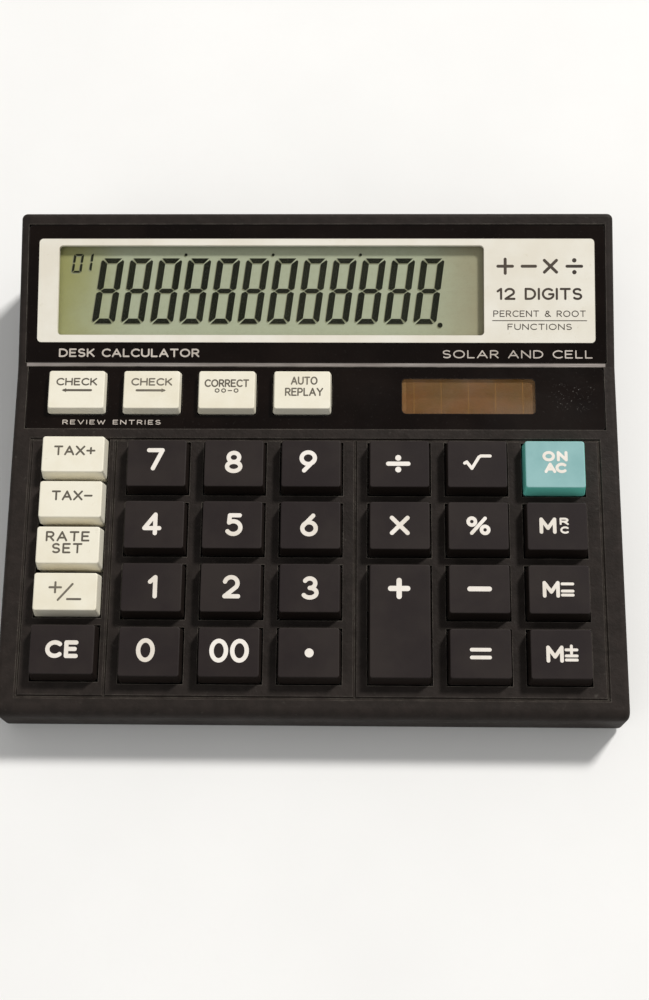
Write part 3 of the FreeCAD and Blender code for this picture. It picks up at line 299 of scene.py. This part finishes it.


# Light grey for lightened edges: abrasion, and on the case also a painted highlight.
WORN_AND_LIT_EDGE_BLACK = srgb(104, 98, 90)
GREY_DUST = srgb(86, 82, 76)
CREAM_SOIL = srgb(206, 196, 172)
MATERIALS = {
    # The case's edges are lightened at full strength: partly abrasion, partly a painted highlight for the
    # lit edges of its grooves.
    "case_black": moulded(
        "case_black", srgb(38, 33, 30), srgb(45, 39, 36), (0.52, 0.7), 950.0, 0.2,
        WORN_AND_LIT_EDGE_BLACK, 1.0, GREY_DUST, patch_scale=330.0, Specular_IOR_Level=0.12,
    ),
    "panel_black": panel_gloss(),
    # Its walls are painted darker: painted shade where little light reaches the key walls.
    "key_black": moulded(
        "key_black", srgb(40, 34, 34), srgb(48, 42, 40), (0.42, 0.56), 2200.0, 0.03,
        srgb(92, 86, 84), 0.5, patch_scale=55.0, painted_wall_light_and_shade=srgb(32, 26, 23), Specular_IOR_Level=0.12,
    ),
    "key_cream": moulded(
        "key_cream", srgb(238, 233, 216), srgb(230, 223, 202), (0.38, 0.5), 1900.0, 0.015,
        CREAM_SOIL, 0.6, CREAM_SOIL, Specular_IOR_Level=0.35,
    ),
    "cream_trim": moulded(
        "cream_trim", srgb(237, 233, 221), srgb(230, 224, 209), (0.35, 0.5), 1700.0, 0.012,
        CREAM_SOIL, 0.5, CREAM_SOIL, Specular_IOR_Level=0.35,
    ),
    # Its walls are painted a brighter, greener teal: painted light reflected onto the key's front face.
    "key_teal": moulded(
        "key_teal", srgb(144, 186, 186), srgb(130, 174, 174), (0.36, 0.5), 1900.0, 0.015,
        srgb(180, 214, 210), 0.5, srgb(160, 196, 200), painted_wall_light_and_shade=srgb(118, 222, 204), Specular_IOR_Level=0.3,
    ),
    "display_film": display_film(),
    "solar_brown": solar_brown(),
    "clear_window": clear("clear_window", srgb(70, 72, 62), (0.08, 0.2), (0.02, 0.07)),
    "amber_window": clear("amber_window", srgb(120, 84, 40), (0.12, 0.25), (0.2, 0.34)),
    "display_glass": clear("display_glass", srgb(190, 205, 195), (0.05, 0.12), (0.12, 0.2)),
    "silver_trim": metal("silver_trim", srgb(205, 196, 190), srgb(176, 166, 160)),
    "screw_steel": metal("screw_steel", srgb(170, 168, 164), srgb(128, 124, 120), (0.28, 0.5)),
    "contact_metal": metal("contact_metal", srgb(198, 192, 178), srgb(150, 144, 130), (0.25, 0.45)),
    "can_sleeve": moulded(
        "can_sleeve", srgb(26, 34, 66), srgb(20, 26, 50), (0.3, 0.42), 1200.0, 0.01, srgb(90, 96, 120),
    ),
    "inner_plastic": moulded(
        "inner_plastic", srgb(48, 46, 44), srgb(58, 55, 52), (0.45, 0.6), 1400.0, 0.03, WORN_AND_LIT_EDGE_BLACK,
    ),
    "ribbon_film": moulded(
        "ribbon_film", srgb(206, 190, 140), srgb(184, 168, 118), (0.3, 0.42), 1200.0, 0.01,
        srgb(226, 214, 176),
    ),
    "board_green": moulded(
        "board_green", srgb(34, 84, 48), srgb(28, 70, 44), (0.3, 0.42), 900.0, 0.02, srgb(140, 150, 96),
    ),
    "mat_rubber": moulded(
        "mat_rubber", srgb(188, 186, 180), srgb(168, 166, 160), (0.6, 0.75), 1100.0, 0.03,
        srgb(206, 204, 198), 0.4, GREY_DUST,
    ),
    "resin_black": moulded(
        "resin_black", srgb(22, 22, 23), srgb(30, 29, 29), (0.25, 0.4), 700.0, 0.02, srgb(70, 70, 70),
    ),
    "foot_rubber": moulded(
        "foot_rubber", srgb(44, 43, 42), srgb(56, 54, 51), (0.7, 0.85), 1300.0, 0.05,
        srgb(90, 88, 84), 0.5, GREY_DUST,
    ),
    "cell_jacket": moulded(
        "cell_jacket", srgb(150, 44, 36), srgb(126, 34, 30), (0.28, 0.4), 900.0, 0.01, srgb(196, 120, 104),
    ),
    "wire_red": moulded(
        "wire_red", srgb(176, 34, 30), srgb(146, 26, 24), (0.35, 0.5), 1600.0, 0.01, srgb(206, 96, 88),
    ),
    "wire_black": moulded(
        "wire_black", srgb(28, 27, 27), srgb(38, 36, 36), (0.35, 0.5), 1600.0, 0.01, WORN_AND_LIT_EDGE_BLACK,
    ),
}
WHITE_PRINT = moulded(
    "white_print", srgb(242, 236, 228), srgb(224, 216, 204), (0.4, 0.55), 1500.0, 0.01,
    Specular_IOR_Level=0.3,
)
GREY_PRINT = moulded(
    "grey_print", srgb(92, 86, 76), srgb(118, 111, 98), (0.4, 0.55), 1500.0, 0.01,
    Specular_IOR_Level=0.3,
)
DARK_PRINT = moulded(
    "dark_print", srgb(54, 46, 40), srgb(78, 68, 58), (0.4, 0.55), 1500.0, 0.01,
    Specular_IOR_Level=0.3,
)
SILVER_PRINT = moulded(
    "silver_print", srgb(206, 196, 186), srgb(176, 166, 156), (0.35, 0.5), 1500.0, 0.01,
    Specular_IOR_Level=0.4,
)
SEGMENT_INK = moulded(
    "segment_ink", srgb(24, 26, 16), srgb(34, 36, 24), (0.35, 0.5), 900.0, 0.004,
    Specular_IOR_Level=0.1,
)
# Grey-green for the painted shadow that the figures cast on the display's back.
PAINTED_SEGMENT_SHADOW = moulded(
    "segment_painted_shadow", srgb(128, 130, 104), srgb(138, 140, 112), (0.4, 0.5), 900.0, 0.004,
    Specular_IOR_Level=0.15,
)
SOLAR_LINE = metal("solar_line", srgb(150, 112, 66), srgb(132, 98, 56), (0.3, 0.5))
# How far the underside of a print stands inside its face.
PRINT_SINK = 0.01 * MM


def finish_nodes():
    """Gives each CAD node the finish that the record's material slot names."""
    for part in frame["record"]["subparts"]:
        data = NODES[part["node"]].data
        finish = MATERIALS[part["material_slot"]]
        for place in range(max(1, len(data.materials))):
            if place < len(data.materials):
                data.materials[place] = finish
            else:
                data.materials.append(finish)


# ---------------------------------------------------------------- drawn shapes

def arc(cx, cy, rx, ry, start, end):
    """Points round an ellipse's arc, in degrees."""
    count = max(3, round(abs(end - start) / 12))
    angles = [math.radians(start + (end - start) * i / count) for i in range(count + 1)]
    return [(cx + rx * math.cos(a), cy + ry * math.sin(a)) for a in angles]


# Letters as strokes in a box one unit high: the advance width, then each stroke's points.
GLYPHS = {
    " ": (0.3, []),
    "0": (0.74, [arc(0.37, 0.5, 0.37, 0.5, 0, 360)]),
    "1": (0.3, [[(0, 0.76), (0.27, 1), (0.27, 0)]]),
    "2": (0.72, [arc(0.35, 0.68, 0.33, 0.32, 165, -38) + [(0.02, 0), (0.72, 0)]]),
    "3": (0.7, [arc(0.34, 0.75, 0.28, 0.25, 150, -90), arc(0.34, 0.25, 0.35, 0.25, 90, -150)]),
    "4": (0.78, [[(0.56, 0), (0.56, 1), (0, 0.27), (0.78, 0.27)]]),
    "5": (0.72, [[(0.66, 1), (0.15, 1)] + arc(0.34, 0.34, 0.37, 0.34, 128, -145)]),
    "6": (0.7, [[(0.56, 1), (0.06, 0.47)], arc(0.35, 0.32, 0.35, 0.32, 0, 360)]),
    "7": (0.72, [[(0, 1), (0.72, 1), (0.24, 0)]]),
    "8": (0.7, [arc(0.35, 0.75, 0.28, 0.25, 0, 360), arc(0.35, 0.25, 0.35, 0.25, 0, 360)]),
    "9": (0.7, [[(0.14, 0), (0.64, 0.53)], arc(0.35, 0.68, 0.35, 0.32, 0, 360)]),
    "A": (0.8, [[(0, 0), (0.4, 1), (0.8, 0)], [(0.14, 0.33), (0.66, 0.33)]]),
    "C": (0.72, [arc(0.44, 0.5, 0.44, 0.5, 48, 312)]),
    "D": (0.74, [[(0, 0), (0, 1), (0.28, 1)] + arc(0.28, 0.5, 0.46, 0.5, 90, -90) + [(0, 0)]]),
    "E": (0.58, [[(0.58, 1), (0, 1), (0, 0), (0.58, 0)], [(0, 0.52), (0.5, 0.52)]]),
    "F": (0.56, [[(0.56, 1), (0, 1), (0, 0)], [(0, 0.52), (0.48, 0.52)]]),
    "G": (0.8, [arc(0.43, 0.5, 0.43, 0.5, 48, 335) + [(0.82, 0.47), (0.5, 0.47)]]),
    "H": (0.7, [[(0, 0), (0, 1)], [(0.7, 0), (0.7, 1)], [(0, 0.52), (0.7, 0.52)]]),
    "I": (0.02, [[(0, 0), (0, 1)]]),
    "K": (0.62, [[(0, 0), (0, 1)], [(0.6, 1), (0, 0.38)], [(0.2, 0.58), (0.64, 0)]]),
    "L": (0.52, [[(0, 1), (0, 0), (0.52, 0)]]),
    "M": (0.88, [[(0, 0), (0, 1), (0.44, 0.3), (0.88, 1), (0.88, 0)]]),
    "N": (0.72, [[(0, 0), (0, 1), (0.72, 0), (0.72, 1)]]),
    "O": (0.88, [arc(0.44, 0.5, 0.44, 0.5, 0, 360)]),
    "P": (0.6, [[(0, 0), (0, 1), (0.33, 1)] + arc(0.33, 0.73, 0.27, 0.27, 90, -90) + [(0, 0.46)]]),
    "R": (0.62, [[(0, 0), (0, 1), (0.33, 1)] + arc(0.33, 0.73, 0.27, 0.27, 90, -90) + [(0, 0.46)],
                 [(0.3, 0.46), (0.62, 0)]]),
    "S": (0.6, [arc(0.3, 0.75, 0.28, 0.25, 35, 270) + arc(0.3, 0.25, 0.3, 0.25, 90, -145)]),
    "T": (0.7, [[(0, 1), (0.7, 1)], [(0.35, 1), (0.35, 0)]]),
    "U": (0.7, [[(0, 1), (0, 0.35)] + arc(0.35, 0.35, 0.35, 0.35, 180, 360) + [(0.7, 1)]]),
    "V": (0.76, [[(0, 1), (0.38, 0), (0.76, 1)]]),
    "W": (1.0, [[(0, 1), (0.25, 0), (0.5, 0.85), (0.75, 0), (1.0, 1)]]),
    "X": (0.74, [[(0, 0), (0.74, 1)], [(0, 1), (0.74, 0)]]),
    "Y": (0.74, [[(0, 1), (0.37, 0.48), (0.74, 1)], [(0.37, 0.48), (0.37, 0)]]),
    "+": (0.7, [[(0, 0.48), (0.7, 0.48)], [(0.35, 0.13), (0.35, 0.83)]]),
    "-": (0.66, [[(0, 0.48), (0.66, 0.48)]]),
    "/": (0.6, [[(0, 0), (0.6, 1)]]),
    "&": (0.8, [[(0.78, 0)] + arc(0.36, 0.77, 0.2, 0.21, 210, -30) + arc(0.32, 0.26, 0.3, 0.26, 120, 350)]),
}


def disc(x, y, radius, steps=20):
    return [(x + radius * math.cos(a), y + radius * math.sin(a))
            for a in (math.tau * k / steps for k in range(steps))]


def stroke_faces(points, half):
    """Flat polygons, as lists of points, that cover a stroke with round ends and round sharp bends."""
    closed = math.dist(points[0], points[-1]) < 1e-6
    line = [Vector(points[0])]
    line += [Vector(q) for p, q in zip(points, points[1:]) if math.dist(p, q) > 1e-4]
    steps = [(b - a).normalized() for a, b in zip(line, line[1:])]
    normals = [Vector((-step.y, step.x)) * half for step in steps]

    def joint(first, second):
        """Half the stroke's width across a smooth bend, or None where the bend is sharp."""
        cosine = steps[first].dot(steps[second])
        if cosine < 0.8:
            return None
        return (normals[first] + normals[second]) / (1 + cosine)

    last = len(steps) - 1
    joints = [joint(last, 0) if closed else None]
    joints += [joint(i, i + 1) for i in range(last)]
    joints.append(joints[0])
    polygons = []
    for i, (start, end) in enumerate(zip(line, line[1:])):
        behind = joints[i] or normals[i]
        ahead = joints[i + 1] or normals[i]
        polygons.append([start - behind, end - ahead, end + ahead, start + behind])
    for place, bend in enumerate(joints):
        if bend is None:
            polygons.append(disc(line[place].x, line[place].y, half))
    return polygons


def box_of(polygon):
    xs, ys = [p[0] for p in polygon], [p[1] for p in polygon]
    return min(xs), max(xs), min(ys), max(ys)


def touching_groups(polygons):
    """Polygons gathered into groups whose boxes touch, so that each letter is joined by itself."""
    groups = []
    for polygon in polygons:
        left, right, low, high = box_of(polygon)
        near = [g for g in groups
                if any(left <= r and l <= right and low <= h and w <= high for l, r, w, h in map(box_of, g))]
        groups = [g for g in groups if g not in near]
        groups.append([polygon] + [member for g in near for member in g])
    return groups


def union_of(polygons):
    """The flat area that polygons cover together, as corner points and triangles that don't overlap."""
    across = sum(p[0] for polygon in polygons for p in polygon) / sum(map(len, polygons))
    along = sum(p[1] for polygon in polygons for p in polygon) / sum(map(len, polygons))
    corners, rings = [], []
    for polygon in polygons:
        area = sum(p[0] * q[1] - q[0] * p[1] for p, q in zip(polygon, polygon[1:] + polygon[:1]))
        ring = list(polygon) if area > 0 else list(reversed(polygon))
        rings.append(list(range(len(corners), len(corners) + len(ring))))
        corners += [Vector((p[0] - across, p[1] - along)) for p in ring]
    points, _, triangles, _, _, owners = delaunay_2d_cdt(corners, [], rings, 1, 1e-6)
    kept = [list(t) for t, owner in zip(triangles, owners) if owner]
    return [(p[0] + across, p[1] + along) for p in points], kept


def solid_of(polygons, thick):
    """Vertices and faces of flat plates as closed solids, thick from 0 upward."""
    vertices, faces = [], []
    for group in touching_groups(polygons):
        points, triangles = union_of(group)
        base, size = len(vertices), len(points)
        vertices += [(x, y, 0.0) for x, y in points] + [(x, y, thick) for x, y in points]
        triangles = [[i + base for i in t] for t in triangles]
        faces += [[i + size for i in t] for t in triangles] + [list(reversed(t)) for t in triangles]
        directed = {(t[i], t[(i + 1) % 3]) for t in triangles for i in range(3)}
        for start, end in sorted(directed):
            if (end, start) not in directed:
                faces.append([start, end, end + size, start + size])
    return vertices, faces


def plates(name, polygons, place, material, body, thick=0.03):
    """A piece made of flat plates in millimetres, stood on a face and riding on a body."""
    vertices, faces = solid_of(polygons, thick)
    mesh = bpy.data.meshes.new(name)
    mesh.from_pydata([place @ (Vector(v) * MM) for v in vertices], [], faces)
    mesh.update()
    mesh.materials.append(material)
    piece = bpy.data.objects.new(name, mesh)
    bpy.context.scene.collection.objects.link(piece)
    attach(piece, body)
    return piece


def line_of_text(text, height, gap=0.28, wide=1.0):
    """Strokes of a line of text, centred on x 0 with its feet on y 0, and the line's width."""
    strokes, x = [], 0.0
    for letter in text:
        advance, shapes = GLYPHS[letter]
        strokes += [[((x + px * wide) * height, py * height) for px, py in shape] for shape in shapes]
        x += advance * wide + gap
    width = (x - gap) * height
    return [[(px - width / 2, py) for px, py in shape] for shape in strokes], width


def text_plates(text, height, stroke, x=0.0, y=0.0, gap=0.28, wide=1.0, span=None):
    """A line of text as flat polygons, centred on x, y. height is of the letters' middle lines."""
    strokes, width = line_of_text(text, height, gap, wide)
    squeeze = span / width if span else 1.0
    polygons = []
    for shape in strokes:
        moved = [(px * squeeze + x, py - height / 2 + y) for px, py in shape]
        polygons += stroke_faces(moved, stroke / 2)
    return polygons


def arrow(x, y, reach, side, stroke):
    """An arrow whose head points to the left (-1) or right (1)."""
    tip = x + side * reach
    shaft = [(x - side * reach, y), (tip - side * 0.5, y)]
    head = [(tip, y), (tip - side * 1.1, y + 0.5), (tip - side * 1.1, y - 0.5)]
    return stroke_faces(shaft, stroke / 2) + [head]


# ---------------------------------------------------------------- key legends

DIGIT_HEIGHT = 4.55
DIGIT_STROKE = 1.02


def bars(*strokes, width=1.2):
    return [polygon for stroke in strokes for polygon in stroke_faces(list(stroke), width / 2)]


def memory(stack):
    """A large M with two small signs or letters stacked after it."""
    polygons = text_plates("M", 3.1, 0.85, x=-1.9, wide=1.15)
    for polygons_above in stack:
        polygons += polygons_above
    return polygons


def percent():
    rings = [arc(-1.55, 1.0, 0.85, 0.85, 0, 360), arc(1.55, -1.0, 0.85, 0.85, 0, 360)]
    return bars(*rings, width=0.85) + bars([(-1.6, -1.8), (1.6, 1.8)], width=0.85)


EQUALS_SMALL = bars([(0.65, -0.4), (3.15, -0.4)], [(0.65, -1.35), (3.15, -1.35)], width=0.66)
LEGENDS = {
    **{f"key_{n}": text_plates(str(n), DIGIT_HEIGHT, DIGIT_STROKE) for n in range(10)},
    "key_double_zero": text_plates("00", DIGIT_HEIGHT, DIGIT_STROKE, gap=0.32),
    "key_decimal": [disc(0.1, -0.1, 1.05)],
    "key_divide": bars([(-2.4, 0), (2.4, 0)], width=1.05) + [disc(0, 1.45, 0.72), disc(0, -1.45, 0.72)],
    "key_square_root": bars([(-3.0, -0.3), (-2.5, 0.0), (-1.3, -1.6), (0.4, 1.2), (0.9, 1.5), (3.1, 1.5)],
                            width=0.75),
    "key_multiply": bars([(-1.85, -1.85), (1.85, 1.85)], [(-1.85, 1.85), (1.85, -1.85)], width=1.0),
    "key_percent": percent(),
    "key_plus": bars([(-2.0, 0), (2.0, 0)], [(0, -1.9), (0, 1.9)], width=1.25),
    "key_minus": bars([(-2.3, 0), (2.3, 0)], width=1.15),
    "key_equals": bars([(-2.1, 0.9), (2.1, 0.9)], [(-2.1, -0.9), (2.1, -0.9)], width=0.85),
    "key_clear_entry": text_plates("CE", 3.15, 1.0, gap=0.5, wide=1.25),
    "key_memory_recall": memory([text_plates("R", 1.3, 0.46, x=1.95, y=1.05, wide=2.1),
                                 text_plates("C", 1.3, 0.46, x=1.95, y=-1.05, wide=1.6)]),
    "key_memory_minus": memory([bars([(0.65, 1.3), (3.15, 1.3)], width=0.66), EQUALS_SMALL]),
    "key_memory_plus": memory([bars([(0.65, 1.0), (3.15, 1.0)], [(1.9, 1.9), (1.9, 0.2)], width=0.66),
                               EQUALS_SMALL]),
    "key_on_all_clear": text_plates("ON", 1.85, 0.72, y=1.5, gap=0.62, wide=1.4)
    + text_plates("AC", 1.85, 0.72, y=-1.4, gap=0.3, wide=1.4),
    "key_tax_plus": text_plates("TAX+", 2.0, 0.45, x=0.4, y=0.9, gap=0.3, span=9.6),
    "key_tax_minus": text_plates("TAX-", 2.0, 0.45, x=0.4, y=0.9, gap=0.3, span=9.4),
    "key_rate_set": text_plates("RATE", 2.05, 0.45, x=-0.1, y=2.1, gap=0.36, span=10.0)
    + text_plates("SET", 2.05, 0.45, x=-0.1, y=-0.8, gap=0.36, span=6.8),
    "key_sign_change": bars([(-3.7, 1.0), (-1.0, 1.0)], [(-2.35, -0.2), (-2.35, 2.2)],
                            [(-1.6, -2.0), (1.7, 1.8)], [(0.6, -1.8), (3.7, -1.8)], width=0.5),
    "key_check_back": text_plates("CHECK", 1.6, 0.36, y=2.0, span=9.7) + arrow(0.0, -0.2, 3.6, -1, 0.55),
    "key_check_forward": text_plates("CHECK", 1.6, 0.36, y=2.0, span=9.7) + arrow(0.0, -0.2, 3.6, 1, 0.55),
    "key_correct": text_plates("CORRECT", 1.65, 0.36, y=1.7, span=10.6)
    + text_plates("00-0", 0.85, 0.26, y=-0.2, gap=0.5, span=5.6),
    "key_auto_replay": text_plates("AUTO", 1.75, 0.36, x=0.5, y=2.4, span=6.2)
    + text_plates("REPLAY", 1.75, 0.36, x=0.5, y=-0.5, span=9.0),
}
# How far each legend sits from the middle of its key top, in millimetres across and rearward.
LEGEND_SHIFT = {
    "key_7": (-0.3, 0.9), "key_8": (0.0, 0.3), "key_9": (-0.7, 0.5), "key_divide": (-0.3, 0.0),
    "key_square_root": (0.0, 0.5), "key_4": (-0.5, 0.1), "key_5": (0.4, 0.0), "key_6": (-0.3, 0.0),
    "key_1": (0.3, 0.1), "key_2": (0.2, 0.2), "key_3": (0.1, 0.0), "key_0": (-0.8, 0.3),
    "key_double_zero": (0.1, 0.3), "key_plus": (-0.2, 7.6), "key_on_all_clear": (0.0, 0.5),
    "key_memory_plus": (0.4, 0.0), "key_memory_recall": (-0.3, 0.1),
}


def print_legends():
    cream = {p["node"] for p in frame["record"]["subparts"] if p["material_slot"] == "key_cream"}
    for key, polygons in LEGENDS.items():
        face = Face(key, KEYPAD_SLOPE)
        across, along = LEGEND_SHIFT.get(key, (0.0, 0.0))
        x, y = face.middle
        place = face.place(x + across * MM, y + along * MM, -PRINT_SINK)
        ink, slot = (GREY_PRINT, "key_black") if key in cream else (WHITE_PRINT, "key_cream")
        plates(f"legend_{key[4:]}", polygons, place, ink, key, 0.04)


# ---------------------------------------------------------------- display

def segment_shapes(width, height, stem, bar, gap, corner):
    """The seven segments of an upright figure, from its lower left corner; stems are its upright ones."""
    middle = height / 2
    top = [(corner + gap, height), (width - corner - gap, height),
           (width - stem - gap, height - bar), (stem + gap, height - bar)]
    upper_left = [(0, height - corner * 1.3 - gap), (corner * 0.75, height - corner * 0.6 - gap),
                  (stem, height - bar - gap), (stem, middle + bar * 0.5 + gap / 2),
                  (stem * 0.5, middle + gap * 1.2), (0, middle + bar * 0.4 + gap / 2)]
    centre = [(stem * 0.5 + gap, middle), (stem + gap, middle + bar * 0.45),
              (width - stem - gap, middle + bar * 0.45), (width - stem * 0.5 - gap, middle),
              (width - stem - gap, middle - bar * 0.45), (stem + gap, middle - bar * 0.45)]

    def turned(shape, across, down):
        return [(width - x if across else x, height - y if down else y) for x, y in shape]

    return {
        "top": top,
        "upper_left": upper_left,
        "upper_right": turned(upper_left, True, False),
        "centre": centre,
        "lower_left": turned(upper_left, False, True),
        "lower_right": turned(upper_left, True, True),
        "bottom": turned(top, False, True),
    }


DIGIT_PITCH = 7.3
DIGIT_SLANT = math.tan(math.radians(7.5))


def figure(x, y, size, lit=None):
    shapes = segment_shapes(*size)
    chosen = lit or shapes
    return [[(x + px + py * DIGIT_SLANT, y + py) for px, py in shapes[name]] for name in chosen]


def print_display():
    """The figures of the liquid crystal display, on its upper film, with a painted shadow of the figures
    just below them.
    """
    film = Face("lcd_polarizers", DISPLAY_SLOPE)
    window = Face("display_window", DISPLAY_SLOPE)
    left = window.left / MM + 9.1
    front = window.front / MM + 4.15
    large = (5.75, 16.7, 1.6, 1.3, 0.14, 0.5)
    small = (2.5, 4.8, 0.6, 0.5, 0.08, 0.12)
    polygons = []
    for place in range(12):
        polygons += figure(left + place * DIGIT_PITCH, front, large)
    for place in (2, 5, 8):
        polygons.append(disc(left + (place + 1) * DIGIT_PITCH + 1.5, front + 17.6, 0.38, 10))
    polygons.append(disc(left + 11.95 * DIGIT_PITCH - 0.2, front - 0.3, 0.65, 14))
    polygons += figure(left - 5.4, front + 13.0, small,
                       ("top", "upper_left", "upper_right", "lower_left", "lower_right", "bottom"))
    polygons += figure(left - 2.9, front + 13.3, small, ("upper_right", "lower_right"))
    level = film.top - window.top
    # A painted shadow: a darker copy of the figures, offset a little to the left and frontward, laid just
    # under them on the film.
    shade = [[(px - 0.22, py - 0.3) for px, py in polygon] for polygon in polygons]
    plates("display_painted_shadow", shade, window.place(0, 0, level + 0.002 * MM), PAINTED_SEGMENT_SHADOW,
           "case", 0.004)
    plates("display_figures", polygons, window.place(0, 0, level + 0.008 * MM), SEGMENT_INK,
           "case", 0.01)


def print_panels():
    """Lettering on the cream frame, the black panels and below the first two keys."""
    cream = Face("display_frame", DISPLAY_SLOPE)
    x = cream.right / MM - 13.7
    base = cream.front / MM
    signs = bars([(-10.2, 0), (-6.6, 0)], [(-8.4, -1.8), (-8.4, 1.8)],
                 [(-4.2, 0), (-0.9, 0)],
                 [(1.3, -1.5), (4.3, 1.5)], [(1.3, 1.5), (4.3, -1.5)],
                 [(6.9, 0), (10.5, 0)], width=0.75)
    signs += [disc(8.7, 1.5, 0.55), disc(8.7, -1.5, 0.55)]
    block = [[(px + x, py + base + 19.3) for px, py in polygon] for polygon in signs]
    block += text_plates("12 DIGITS", 2.5, 0.55, x=x, y=base + 12.3, gap=0.3, span=20.6)
    block += text_plates("PERCENT & ROOT", 1.4, 0.22, x=x, y=base + 7.3, gap=0.3, span=22.6)
    block += bars([(x - 11.6, base + 5.55), (x + 11.6, base + 5.55)], width=0.2)
    block += text_plates("FUNCTIONS", 1.35, 0.22, x=x, y=base + 4.0, gap=0.3, span=15.6)
    plates("print_frame", block, cream.place(0, 0, -PRINT_SINK), DARK_PRINT, "case", 0.03)
    panel = Face("display_panel", DISPLAY_SLOPE)
    low = panel.front / MM + 2.4
    captions = text_plates("DESK CALCULATOR", 1.75, 0.4, x=-46.2, y=low, gap=0.3, span=34.6)
    captions += text_plates("SOLAR AND CELL", 1.75, 0.3, x=50.0, y=low - 0.2, gap=0.3, span=36.6)
    plates("print_captions", captions, panel.place(0, 0, -PRINT_SINK), SILVER_PRINT,
           "case", 0.03)
    lower = Face("function_panel", KEYPAD_SLOPE)
    note = text_plates("REVIEW ENTRIES", 1.0, 0.2, x=-49.8, y=lower.front / MM + 1.65, gap=0.42,
                       span=24.0)
    plates("print_note", note, lower.place(0, 0, -PRINT_SINK), SILVER_PRINT, "case", 0.03)


def solar_lines():
    """Five thin conductor lines across the solar film."""
    cell = Face("solar_cell", KEYPAD_SLOPE)
    left, right = cell.left / MM, cell.right / MM
    front, rear = cell.front / MM + 0.3, cell.rear / MM - 0.3
    half = 0.09
    lines = []
    for share in (0.1, 0.3, 0.5, 0.7, 0.9):
        x = left + (right - left) * share
        lines.append([(x - half, front), (x + half, front), (x + half, rear), (x - half, rear)])
    plates("solar_lines", lines, cell.place(0, 0, -0.005 * MM), SOLAR_LINE, "case", 0.015)


# ---------------------------------------------------------------- camera, light and floor

def aim(thing, place, target, roll=0.0):
    """Turns a camera or lamp at a place towards a target, rolled about its own view by some degrees."""
    back = (Vector(place) - Vector(target)).normalized()
    right = Vector((0, 0, 1)).cross(back).normalized()
    up = back.cross(right)
    turn = math.radians(roll)
    x = right * math.cos(turn) + up * math.sin(turn)
    y = up * math.cos(turn) - right * math.sin(turn)
    thing.matrix_world = Matrix.Translation(Vector(place)) @ Matrix((x, y, back)).transposed().to_4x4()


# The view: what it looks at, from where, and the lens, in millimetres and degrees.
VIEW_TARGET = (2.79, -11.18, 20.3)
VIEW_AZIMUTH = 3.84
VIEW_ELEVATION = 70.35
VIEW_DISTANCE = 332.4
VIEW_ROLL = -3.38
VIEW_LENS = 50.12
VIEW_SENSOR = 36.0
# Half the side of the square floor, in metres.
FLOOR_HALF = 3.0


def set_camera():
    """The photograph's view: from the front and well above, turned a little to the right."""
    target = Vector(VIEW_TARGET) * MM
    azimuth = math.radians(VIEW_AZIMUTH)
    elevation = math.radians(VIEW_ELEVATION)
    back = Vector((
        math.cos(elevation) * math.sin(azimuth),
        -math.cos(elevation) * math.cos(azimuth),
        math.sin(elevation),
    ))
    data = bpy.data.cameras.new("camera")
    data.lens = VIEW_LENS
    data.sensor_width = VIEW_SENSOR
    data.clip_start = 0.01
    data.clip_end = 20.0
    camera = bpy.data.objects.new("camera", data)
    bpy.context.scene.collection.objects.link(camera)
    aim(camera, target + back * VIEW_DISTANCE * MM, target, VIEW_ROLL)
    bpy.context.scene.camera = camera


def lamp(name, place, size, power, colour):
    data = bpy.data.lights.new(name, "AREA")
    data.shape = "SQUARE"
    data.size = size
    data.energy = power
    data.color = colour
    light = bpy.data.objects.new(name, data)
    bpy.context.scene.collection.objects.link(light)
    aim(light, place, (0, 0, 0.02))


def set_studio():
    lamp("key_light", (2.0, 2.3, 3.1), 0.6, 172.0, (1.0, 0.98, 0.95))
    lamp("fill_light", (-1.6, -1.8, 2.0), 2.2, 11.0, (0.96, 0.98, 1.0))
    world = bpy.data.worlds.new("studio")
    world.use_nodes = True
    background = world.node_tree.nodes["Background"]
    background.inputs["Color"].default_value = (1.0, 0.99, 0.97, 1.0)
    background.inputs["Strength"].default_value = 0.38
    bpy.context.scene.world = world
    bpy.context.scene.view_settings.view_transform = "Standard"


def set_floor():
    mesh = bpy.data.meshes.new("floor")
    corners = [(x * FLOOR_HALF, y * FLOOR_HALF, 0) for x, y in ((-1, -1), (1, -1), (1, 1), (-1, 1))]
    mesh.from_pydata(corners, [], [(0, 1, 2, 3)])
    mesh.materials.append(moulded(
        "floor_paper", srgb(244, 244, 243), srgb(240, 240, 239), (0.7, 0.8), 300.0, 0.02,
        patch_scale=8.0, Specular_IOR_Level=0.2,
    ))
    floor = bpy.data.objects.new("floor", mesh)
    bpy.context.scene.collection.objects.link(floor)


set_camera()
set_studio()
set_floor()
finish_nodes()
print_legends()
print_display()
print_panels()
solar_lines()
